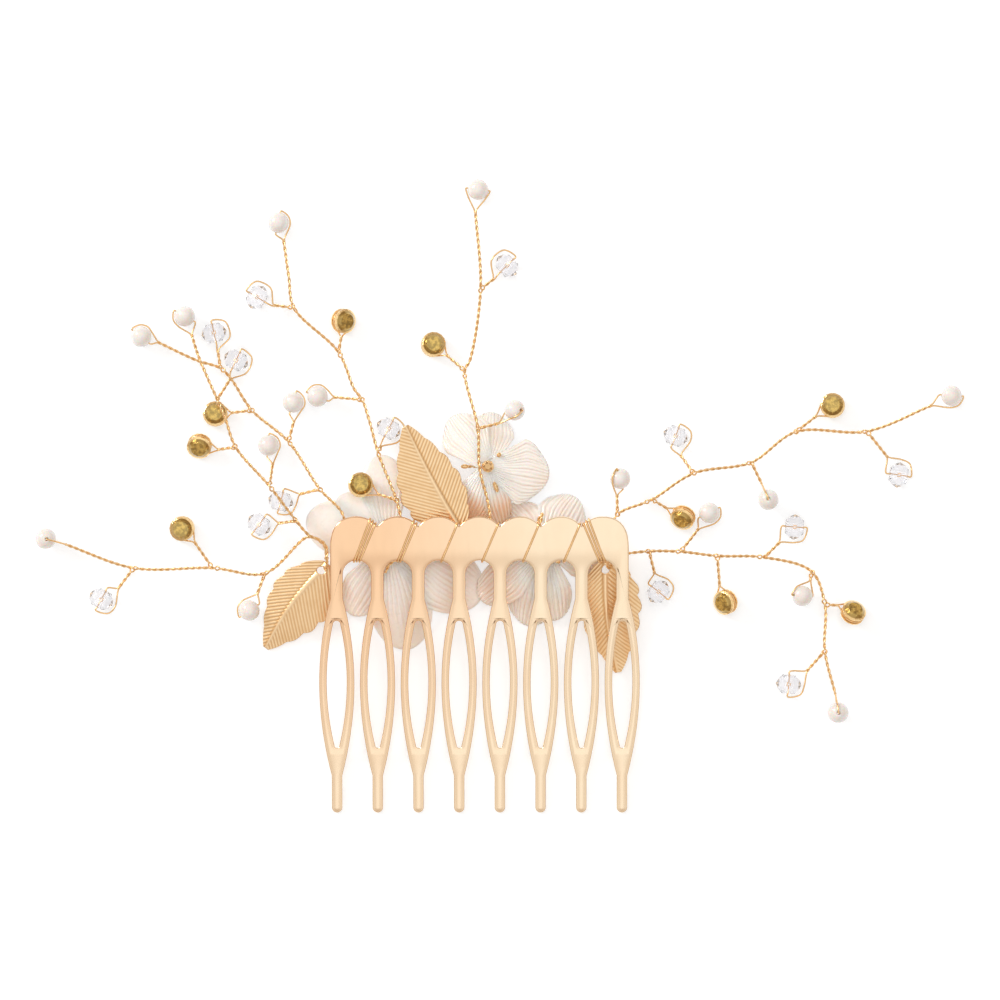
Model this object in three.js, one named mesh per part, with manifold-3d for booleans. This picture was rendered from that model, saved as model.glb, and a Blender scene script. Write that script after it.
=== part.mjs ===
// A stamped hair comb with three wired flowers, three leaves and seven beaded wire sprays.
// It lies face down: the tooth tips, the petals and the outer beads stand on the table, and its
// back faces up. Millimetres, +X along the band, +Y away from the teeth, +Z up from the table.
import * as THREE from "three";
import { mergeVertices } from "three/addons/utils/BufferGeometryUtils.js";
import Module from "manifold-3d";

const wasm = await Module();
wasm.setup();
const rad = THREE.MathUtils.degToRad;

// ---- Driving dimensions ----

// The comb plate: teeth up to the top of the gaps between them, and the scalloped band.
const toothCount = 8;
const toothPitch = 7.75;
const toothLength = 48.5;
const bandDepth = 8.4;
const notchDepth = 1.9;
const endCornerDrop = 5.9;
const plateThick = 1;
// A tooth: its blunt tip, the bulge round its slot, and its neck below the band.
const tipHalf = 1;
const tipLength = 7.1;
const bulgeAt = 24.5;
const bulgeSpacing = 1.05;
const neckHalf = 1.2;
const neckLength = 7.3;
// A tooth's slot: the metal left beside it, its half widths and how far its ends stand off.
const slotWall = 1.45;
const slotTopHalf = 0.7;
const slotFootHalf = 0.45;
const slotTopDrop = 5;
const slotFootRise = 5.8;
// How the plate lies: the band's back edge, the comb's middle and the slope up to the band.
const combMiddleX = -3.7;
const bandEdgeY = -3.6;
const lieTilt = rad(7.5);

// Wire: two strands twisted make a stem, one strand holds a bead or lashes the band.
const stemRadius = 0.3;
const strandRadius = 0.16;
const gap = 0.3;
// How finely the wires are faceted.
const stemSides = 4;
const stemStep = 4;
const strandSides = 3;
const strandStep = 1.2;
// Height of a stem's middle where it lies out flat, and how far the roots sit below the band.
const runHeight = 2.2;
const rootDrop = 1.35;

// Beads.
const boreRadius = 0.6;
const pearlRadius = 2;
const crystalRadius = 2.5;
const crystalHalfLength = 1.75;
const crystalTableRadius = 1.5;
const crystalGirdleHalf = 0.35;
const stoneRadius = 2.35;
const stoneTableRadius = 1.35;
const stoneHalfHeight = 1.45;
const stoneGirdleHalf = 0.75;

// Petals and leaves.
const petalThick = 0.7;
const hubRadius = 2.2;
const pinRadius = 0.32;
const frontBallRadius = 1.3;
const stamenRadius = 0.6;
const leafThick = 0.4;
const leafHoleRadius = 0.6;
const leafHoleInset = 0.9;

// Colours and finishes.
const finish = (color, roughness, metalness) =>
  new THREE.MeshStandardMaterial({ color, roughness, metalness });
const gold = finish(0xf3d3a4, 0.18, 1);
const wireGold = finish(0xdcae72, 0.25, 1);
const leafGold = finish(0xeec389, 0.25, 1);
const nacre = finish(0xefe7df, 0.22, 0);
const pearlCoat = finish(0xf2ede8, 0.2, 0);
const crystal = finish(0xf4f7f8, 0.02, 0);
const stoneGold = finish(0xbe9c48, 0.15, 1);

// ---- Shared geometry ----

const vec = (x, y, z) => new THREE.Vector3(x, y, z);
const up = vec(0, 0, 1);

// Places along the comb, measured in its own face from the end of the tooth tips.
const shoulderAt = toothLength - neckLength;
const archTopAt = toothLength + bandDepth;
const notchAt = archTopAt - notchDepth;
const endCornerAt = archTopAt - endCornerDrop;
const slotTopAt = shoulderAt - slotTopDrop;
const slotFootAt = tipLength + slotFootRise;
const bulgeHalf = (toothPitch - bulgeSpacing) / 2;
const slotHalf = bulgeHalf - slotWall;
const tipsY = bandEdgeY - archTopAt * Math.cos(lieTilt);

// Height of the plate's lower face above the table at a place along Y.
const plateUnderside = (y) => (y - tipsY) * Math.tan(lieTilt);
const rootY = -6;
const rootHeight = plateUnderside(rootY) - rootDrop;

// A height from 0, lying out on the table, to 1, at the root under the band.
const wireHeight = (share) => runHeight + share * (rootHeight - runHeight);

// A closed three.js geometry as a solid that can be joined and cut.
function solid(geometry) {
  const bare = geometry.clone();
  bare.deleteAttribute("normal");
  bare.deleteAttribute("uv");
  const merged = mergeVertices(bare, 1e-4);
  return new wasm.Manifold(
    new wasm.Mesh({
      numProp: 3,
      vertProperties: merged.getAttribute("position").array,
      triVerts: new Uint32Array(merged.index.array),
    }),
  );
}

function geometryOf(body) {
  const made = body.getMesh();
  const geometry = new THREE.BufferGeometry();
  geometry.setAttribute("position", new THREE.BufferAttribute(made.vertProperties, 3));
  geometry.setIndex(new THREE.BufferAttribute(made.triVerts, 1));
  geometry.computeVertexNormals();
  return geometry;
}

const join = (bodies) => bodies.reduce((all, body) => all.add(body));

function section(radius, sides) {
  const corners = [];
  for (let i = 0; i < sides; i++) {
    const angle = (i / sides) * 2 * Math.PI;
    corners.push(new THREE.Vector2(radius * Math.cos(angle), radius * Math.sin(angle)));
  }
  return new THREE.Shape(corners);
}

// A wire of one radius along a smooth route through its points.
function wire(points, radius, sides, stepLength) {
  const route = new THREE.CatmullRomCurve3(points, false, "centripetal");
  const steps = Math.max(1, Math.round(route.getLength() / stepLength));
  return new THREE.ExtrudeGeometry(section(radius, sides), {
    steps,
    bevelEnabled: false,
    extrudePath: route,
  });
}

// A turned body along Y from a profile of [radius, height] points.
function turned(profile, segments) {
  const points = profile.map(([r, h]) => new THREE.Vector2(r, h));
  return new THREE.LatheGeometry(points, segments);
}

// Turns a body's Y axis to a direction and moves it to a place.
function placed(geometry, direction, place) {
  const turn = new THREE.Quaternion().setFromUnitVectors(vec(0, 1, 0), direction);
  return geometry.applyQuaternion(turn).translate(place.x, place.y, place.z);
}

const object = new THREE.Group();
function addNode(name, geometry, material) {
  const mesh = new THREE.Mesh(geometry, material);
  mesh.name = name;
  object.add(mesh);
  return mesh;
}

// ---- Comb plate ----

const firstTooth = (-(toothCount - 1) / 2) * toothPitch;
const toothX = (index) => firstTooth + index * toothPitch;
// The scallops along the band's back edge, one over each gap between teeth.
const archRise = archTopAt - notchAt;
const archRadius = ((toothPitch / 2) ** 2 + archRise ** 2) / (2 * archRise);
const archTurn = Math.asin(toothPitch / 2 / archRadius);
const gapHalf = toothPitch / 2 - neckHalf;
const gapSpring = toothLength - gapHalf;

function combOutline() {
  const bulgeX = 2 * bulgeHalf - (neckHalf + tipHalf) / 2;
  const bulgeY = 2 * bulgeAt - (shoulderAt + tipLength) / 2;
  const outline = new THREE.Shape();
  outline.moveTo(toothX(0) - neckHalf, endCornerAt);
  for (let i = 0; i < toothCount; i++) {
    const x = toothX(i);
    outline.lineTo(x - neckHalf, shoulderAt);
    outline.quadraticCurveTo(x - bulgeX, bulgeY, x - tipHalf, tipLength);
    outline.lineTo(x - tipHalf, tipHalf);
    outline.absarc(x, tipHalf, tipHalf, Math.PI, 2 * Math.PI, false);
    outline.lineTo(x + tipHalf, tipLength);
    outline.quadraticCurveTo(x + bulgeX, bulgeY, x + neckHalf, shoulderAt);
    if (i < toothCount - 1) {
      outline.lineTo(x + neckHalf, gapSpring);
      outline.absarc(x + toothPitch / 2, gapSpring, gapHalf, Math.PI, 0, true);
    }
  }
  const lastX = toothX(toothCount - 1);
  outline.lineTo(lastX + neckHalf, endCornerAt);
  outline.quadraticCurveTo(lastX + neckHalf, archTopAt, lastX - toothPitch / 2, archTopAt);
  for (let i = toothCount - 2; i >= 0; i--) {
    const from = i === toothCount - 2 ? Math.PI / 2 : Math.PI / 2 - archTurn;
    const to = i === 0 ? Math.PI / 2 : Math.PI / 2 + archTurn;
    outline.absarc(toothX(i) + toothPitch / 2, archTopAt - archRadius, archRadius, from, to, false);
  }
  outline.quadraticCurveTo(toothX(0) - neckHalf, archTopAt, toothX(0) - neckHalf, endCornerAt);
  return outline;
}

// The long almond slot down the middle of a tooth.
function toothSlot(x) {
  const middle = (slotTopAt + slotFootAt) / 2;
  const reach = 2 * slotHalf - (slotTopHalf + slotFootHalf) / 2;
  const slot = new THREE.Path();
  slot.moveTo(x - slotFootHalf, slotFootAt);
  slot.quadraticCurveTo(x - reach, middle, x - slotTopHalf, slotTopAt);
  slot.absarc(x, slotTopAt, slotTopHalf, Math.PI, 0, true);
  slot.quadraticCurveTo(x + reach, middle, x + slotFootHalf, slotFootAt);
  slot.absarc(x, slotFootAt, slotFootHalf, 0, -Math.PI, true);
  return slot;
}

function addComb() {
  const outline = combOutline();
  for (let i = 0; i < toothCount; i++) outline.holes.push(toothSlot(toothX(i)));
  const geometry = new THREE.ExtrudeGeometry(outline, {
    depth: plateThick,
    bevelEnabled: false,
    curveSegments: 3,
  });
  const comb = addNode("comb", geometryOf(solid(geometry)), gold);
  comb.rotation.x = lieTilt;
  comb.position.set(combMiddleX, tipsY, 0);
}

// ---- Lashing wire round the band ----

// Each binding: the tooth whose notch it starts over, its turns, and its slant to a gap.
const bindings = [
  { tooth: 1, turns: 3, slant: -1 },
  { tooth: 2, turns: 2, slant: -1 },
  { tooth: 3, turns: 1, slant: -1 },
  { tooth: 4, turns: 1, slant: -1 },
  { tooth: 5, turns: 1, slant: -1 },
  { tooth: 6, turns: 1, slant: -1 },
  { tooth: 6, turns: 3, slant: 1 },
];
const turnSpacing = 0.55;
const notchOffset = 0.5;
const gapOffset = 0.6;
// How far the strand's middle stands off the plate, how it rounds an edge, and how far it
// runs straight before and after each bend.
const lashClear = gap + strandRadius + 0.1;
const lashCorner = 0.15;
const lashStraight = 1;

// Where the band's scalloped edge and the top of a gap stand at a place along the band.
function offMiddle(x) {
  const steps = (x - toothX(0)) / toothPitch;
  return (steps - Math.floor(steps) - 0.5) * toothPitch;
}
const bandEdge = (x) => archTopAt - archRadius + Math.sqrt(archRadius ** 2 - offMiddle(x) ** 2);
const gapEdge = (x) => gapSpring + Math.sqrt(Math.max(0, gapHalf ** 2 - offMiddle(x) ** 2));

function addLashing() {
  const back = plateThick + lashClear;
  const front = -lashClear;
  const corner = lashCorner;
  const straight = lashStraight;
  const route = [];
  for (const { tooth, turns, slant } of bindings) {
    for (let turn = 0; turn < turns; turn++) {
      const step = turn * turnSpacing;
      const topX = toothX(tooth) + (slant > 0 ? notchOffset + step : -notchOffset - step);
      const footX = toothX(tooth) + slant * (toothPitch / 2 - gapOffset + step);
      const over = bandEdge(topX) + lashClear;
      const under = gapEdge(footX) - lashClear;
      const lean = (footX - topX) / (over - under);
      const onBack = (height) => vec(topX + (over - height) * lean, height, back);
      route.push(vec(topX, over - straight, front), vec(topX, over - corner, front));
      route.push(vec(topX, over, corner), vec(topX, over, plateThick - corner));
      route.push(onBack(over - corner), onBack(over - straight));
      route.push(onBack(under + straight), onBack(under + corner));
      route.push(vec(footX, under, plateThick - corner), vec(footX, under, corner));
      route.push(vec(footX, under + corner, front), vec(footX, under + straight, front));
    }
  }
  const lashing = addNode("lashing_wire", wire(route, strandRadius, strandSides, strandStep), wireGold);
  lashing.rotation.x = lieTilt;
  lashing.position.set(combMiddleX, tipsY, 0);
}

// ---- Flowers ----

// Each petal: its tip from the flower's middle, its greatest width, and its tip's height.
const flowers = [
  {
    at: [-2.1, 5.8],
    hubShare: 0.58,
    petals: [
      { tip: [-7.4, 9.2], width: 7.8, height: 0.8 },
      { tip: [1.1, 10.2], width: 7.2, height: 0.6 },
      { tip: [11.6, -1.8], width: 12.5, height: 3.1 },
      { tip: [-3.9, -11.3], width: 6.5, height: 3 },
      { tip: [2.6, -10.8], width: 5.5, height: 3 },
    ],
    ball: 1,
    stamens: [[2.1, 2.2], [1.4, -3.8], [-4.4, 0]],
  },
  {
    at: [-21, -9],
    hubShare: 0.5,
    petals: [
      { tip: [-15.5, 5.2], width: 10.5, height: 0.6 },
      { tip: [-9.5, 9], width: 8.5, height: 1.6 },
      { tip: [-1.5, 17], width: 9, height: 0.6 },
      { tip: [-7, -13.5], width: 7, height: 1 },
      { tip: [3.8, -20], width: 12, height: 0.6 },
      { tip: [17, -12], width: 9.5, height: 0.7 },
    ],
    ball: 0,
    stamens: [],
  },
  {
    at: [8.5, -9.5],
    hubShare: 0.42,
    petals: [
      { tip: [-6.5, 8], width: 8.5, height: 0.6 },
      { tip: [6, 9.5], width: 10, height: 0.6 },
      { tip: [-11.5, -11], width: 7, height: 2.2 },
      { tip: [-3, -15], width: 10.5, height: 0.6 },
      { tip: [2.2, -14], width: 7.8, height: 1 },
      { tip: [11, -4.5], width: 6, height: 1.2 },
    ],
    ball: 0,
    stamens: [[2.6, -2.6]],
  },
];
// A petal's outline, as shares of its length: where it starts, where it is at its widest, and
// its width at the root and at the end as shares of the greatest.
const petalStart = 0.12;
const petalWidestAt = 0.62;
const petalRootShare = 0.25;
const petalEndShare = 0.72;
const petalEndRound = 0.45;
const petalDroop = 1.6;
const petalCup = 0.05;
const petalRows = 5;
const petalColumns = 4;

function petalHalfWidth(width, share) {
  const opening = Math.min(1, petalRootShare + (1 - petalRootShare) * share / petalWidestAt);
  const closing = Math.max(0, (share - petalWidestAt) / (1 - petalWidestAt));
  return (width / 2) * opening * (1 - (1 - petalEndShare) * closing ** 2);
}

// A cupped petal: a slab narrowed to its root, rounded at its tip and bent down to its tip's height.
function petal(hub, { tip, width, height }) {
  const length = Math.hypot(...tip);
  const geometry = new THREE.BoxGeometry(1, 1, petalThick, petalColumns, petalRows, 1);
  const place = geometry.getAttribute("position");
  const angle = Math.atan2(tip[1], tip[0]) - Math.PI / 2;
  for (let i = 0; i < place.count; i++) {
    const side = place.getX(i) * 2;
    const share = petalStart + (1 - petalStart) * (place.getY(i) + 0.5);
    const half = petalHalfWidth(width, share);
    const y = length * share - petalEndRound * (width / 2) * (side * share) ** 2;
    const sink = (hub.z - height) * share ** petalDroop + petalCup * half * side * side;
    place.setXYZ(i, side * half, y, place.getZ(i) - sink);
  }
  return geometry.rotateZ(angle).translate(hub.x, hub.y, hub.z);
}

function hubOf({ at, hubShare }) {
  return vec(at[0], at[1], wireHeight(hubShare));
}

// An upright round plug about the origin.
function plug(radius, half, segments) {
  return turned([[0, -half], [radius, -half], [radius, half], [0, half]], segments);
}

const hubBore = pinRadius + gap + 0.08;
const punchHalf = 3;

function addFlower(flower, number) {
  const hub = hubOf(flower);
  const disc = plug(hubRadius, petalThick / 2, 8);
  const bore = plug(hubBore, punchHalf, 6);
  const parts = flower.petals.map((shape) => solid(petal(hub, shape)));
  parts.push(solid(placed(disc, up, hub)));
  const body = join(parts).subtract(solid(placed(bore, up, hub)));
  addNode("flower_petals_" + number, geometryOf(body), nacre);
}

// The gold balls at a flower's middle, on a pin through the petals' hub. A flower with no ball
// on its back has the pin's bare end there.
const pinEnd = 0.3;
const straightStep = 10;

function addFlowerCentre(flower, number) {
  const hub = hubOf(flower);
  const low = hub.z - petalThick / 2 - gap - frontBallRadius;
  const high = hub.z + petalThick / 2 + gap + Math.max(flower.ball, pinEnd);
  const middle = vec(hub.x, hub.y, low);
  const parts = [
    new THREE.SphereGeometry(frontBallRadius, 8, 5).translate(middle.x, middle.y, middle.z),
    wire([middle, vec(hub.x, hub.y, high)], pinRadius, stemSides, straightStep),
  ];
  if (flower.ball > 0) {
    parts.push(new THREE.SphereGeometry(flower.ball, 6, 5).translate(hub.x, hub.y, high));
  }
  for (const [dx, dy] of flower.stamens) {
    const end = vec(hub.x + dx, hub.y + dy, low);
    parts.push(wire([middle, end], strandRadius, strandSides, straightStep));
    parts.push(new THREE.SphereGeometry(stamenRadius, 5, 4).translate(end.x, end.y, end.z));
  }
  addNode("flower_centre_" + number, geometryOf(join(parts.map(solid))), wireGold);
}

// ---- Leaves ----

// Each leaf: its base, its tip, how far its edges stand off the midrib, how far the midrib
// bows, and its height at tip and base.
const leaves = [
  { base: [-8, -4.6], tip: [-17.7, 13.5], left: 7, right: 5.9, bow: -0.3, high: wireHeight(0.93),
    low: wireHeight(0.885) },
  { base: [-32.5, -12.7], tip: [-44.5, -28.7], left: 7.1, right: 5.1, bow: 1, high: wireHeight(0.48),
    low: 0.6 },
  { base: [20.3, -12], tip: [22.6, -33.4], left: 6.8, right: 5.1, bow: 0.9, high: wireHeight(0.42),
    low: 1.1 },
];
const leafLobes = 6;
const lobeInset = 0.88;
// The outline is half a sine wave's, wider towards the base, with blunt ends.
const leafBluntBase = 0.06;
const leafBluntTip = 0.03;
const leafBelly = 0.8;
const leafFullness = 0.95;
const leafFold = 0.12;
const leafDroop = 1.3;

function leafOutline(share) {
  const turn = leafBluntBase + (1 - leafBluntBase - leafBluntTip) * share ** leafBelly;
  return Math.sin(Math.PI * turn) ** leafFullness;
}

function addLeaf({ base, tip, left, right, bow, low, high }, number) {
  const across = tip[0] - base[0];
  const down = tip[1] - base[1];
  const length = Math.hypot(across, down);
  const rows = leafLobes * 2;
  const geometry = new THREE.BoxGeometry(1, 1, leafThick, 2, rows, 1);
  const place = geometry.getAttribute("position");
  for (let i = 0; i < place.count; i++) {
    const side = place.getX(i) * 2;
    const share = place.getY(i) + 0.5;
    const lobe = Math.round(share * rows) % 2 === 1 ? 1 : lobeInset;
    const half = (side < 0 ? left : right) * leafOutline(share) * lobe;
    const bend = bow * Math.sin(Math.PI * share);
    const fold = leafFold * half * Math.abs(side);
    const rise = high + (low - high) * share ** leafDroop;
    place.setXYZ(i, side * half + bend, length * share, place.getZ(i) + rise - fold);
  }
  const angle = Math.atan2(down, across) - Math.PI / 2;
  geometry.rotateZ(angle).translate(base[0], base[1], 0);
  const toTip = vec(across / length, down / length, 0);
  const hole = vec(base[0], base[1], high)
    .addScaledVector(toTip, leafHoleRadius + leafHoleInset);
  const punch = plug(leafHoleRadius, punchHalf, 8);
  const body = solid(geometry).subtract(solid(placed(punch, up, hole)));
  addNode("leaf_" + number, geometryOf(body), leafGold);
}

// ---- Beads ----

const ringed = (profile) => [...profile, profile[0]];

function pearlProfile() {
  const points = [];
  const start = Math.asin(boreRadius / pearlRadius);
  const rows = 4;
  for (let i = 0; i <= rows; i++) {
    const angle = start + (i / rows) * (Math.PI - 2 * start);
    points.push([pearlRadius * Math.sin(angle), -pearlRadius * Math.cos(angle)]);
  }
  return ringed(points);
}

function crystalProfile() {
  return ringed([
    [boreRadius, -crystalHalfLength],
    [crystalTableRadius, -crystalHalfLength],
    [crystalRadius, -crystalGirdleHalf],
    [crystalRadius, crystalGirdleHalf],
    [crystalTableRadius, crystalHalfLength],
    [boreRadius, crystalHalfLength],
  ]);
}

// Two foiled cones back to back, with a groove for the wire between their girdles.
const loopRadius = stoneRadius - strandRadius;
const grooveRadius = loopRadius - strandRadius - gap;
const grooveHalf = strandRadius + gap;

function stoneProfile() {
  return [
    [0, -stoneHalfHeight],
    [stoneTableRadius, -stoneHalfHeight],
    [stoneRadius, -stoneGirdleHalf],
    [grooveRadius, -grooveHalf],
    [grooveRadius, grooveHalf],
    [stoneRadius, stoneGirdleHalf],
    [stoneTableRadius, stoneHalfHeight],
    [0, stoneHalfHeight],
  ];
}

const beadKinds = {
  pearl: { profile: pearlProfile, segments: 8, material: pearlCoat },
  crystal: { profile: crystalProfile, segments: 8, material: crystal },
  stone: { profile: stoneProfile, segments: 8, material: stoneGold },
};

// Half a bead's height when its axis stands at an angle from upright.
function halfHeight(kind, lean) {
  const reach = ([r, h]) => r * Math.abs(Math.sin(lean)) + Math.abs(h * Math.cos(lean));
  return Math.max(...beadKinds[kind].profile().map(reach));
}

// The frame of a bead: towards its twig, sideways, and the axis of its bore or its stone.
function beadFrame({ kind, bore = 180, roll = 0, lean = 0 }, centre, end) {
  const toTwig = end.clone().sub(centre).normalize();
  const left = up.clone().cross(toTwig).normalize();
  const above = toTwig.clone().cross(left);
  if (kind === "stone") {
    const axis = above.clone().multiplyScalar(Math.cos(rad(lean)))
      .addScaledVector(left, Math.sin(rad(lean)));
    return { toTwig, sideways: axis.clone().cross(toTwig), axis };
  }
  const sideways = left.multiplyScalar(Math.cos(rad(roll)))
    .addScaledVector(above, Math.sin(rad(roll)));
  const axis = toTwig.clone().multiplyScalar(Math.cos(rad(bore)))
    .addScaledVector(sideways, Math.sin(rad(bore)));
  return { toTwig, sideways, axis };
}

// The two strands side by side at the twig's end: where each starts inside it and leaves it.
const pairSpread = 1.15 * strandRadius;
const pairDepth = 4 * strandRadius;

function strandPair(root, end, sideways) {
  const inward = root.clone().sub(end).normalize();
  const pair = (side) => {
    const leaving = end.clone().addScaledVector(sideways, side * pairSpread);
    return [leaving.clone().addScaledVector(inward, pairDepth), leaving];
  };
  return { first: pair, last: (side) => pair(side).reverse() };
}

// A strand keeps this far off a bead, and a crystal's square shoulders push it out further.
const beadClear = gap + strandRadius + 0.06;
const crystalShoulder = 0.14;
const loopTurn = 40;
const boreStraight = 0.85;

// The strand that leaves the twig, passes the bore, and comes back round the bead's side.
function boreLoop({ kind, bore = 180 }, frame, centre, root, end) {
  const half = kind === "pearl" ? pearlRadius : crystalHalfLength;
  const radius = kind === "pearl" ? pearlRadius : crystalRadius;
  const across = frame.axis.clone().multiplyScalar(-frame.toTwig.dot(frame.axis))
    .add(frame.toTwig);
  if (across.lengthSq() < 1e-4) across.copy(frame.sideways);
  across.normalize();
  const shoulder = kind === "crystal" ? crystalShoulder : 0;
  const swell = (angle) => 1 + shoulder * Math.sin(rad(2 * angle)) ** 2;
  const around = (angle) => centre.clone()
    .addScaledVector(frame.axis, (half + beadClear) * swell(angle) * Math.cos(rad(angle)))
    .addScaledVector(across, (radius + beadClear) * swell(angle) * Math.sin(rad(angle)));
  const mouth = half + beadClear + shoulder;
  const through = (share) => centre.clone().addScaledVector(frame.axis, half * share);
  const strands = strandPair(root, end, frame.sideways);
  const route = strands.first(-1);
  const turnBack = 180 - bore;
  for (let angle = loopTurn + 10; angle < turnBack - loopTurn / 2; angle += loopTurn) {
    route.push(around(180 - (turnBack - angle)));
  }
  route.push(centre.clone().addScaledVector(frame.axis, -mouth));
  route.push(through(-boreStraight), through(boreStraight));
  route.push(centre.clone().addScaledVector(frame.axis, mouth));
  for (let angle = loopTurn + 5; angle < bore - loopTurn / 2 - 5; angle += loopTurn) {
    route.push(around(angle));
  }
  route.push(...strands.last(1));
  return route;
}

// The strand that lies in a stone's groove all the way round.
function grooveLoop(frame, centre, root, end) {
  const strands = strandPair(root, end, frame.sideways);
  const route = strands.first(1);
  for (let angle = loopTurn; angle <= 360 - loopTurn; angle += loopTurn) {
    route.push(centre.clone()
      .addScaledVector(frame.toTwig, loopRadius * Math.cos(rad(angle)))
      .addScaledVector(frame.sideways, loopRadius * Math.sin(rad(angle))));
  }
  route.push(...strands.last(-1));
  return route;
}

// ---- Sprays ----

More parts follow.
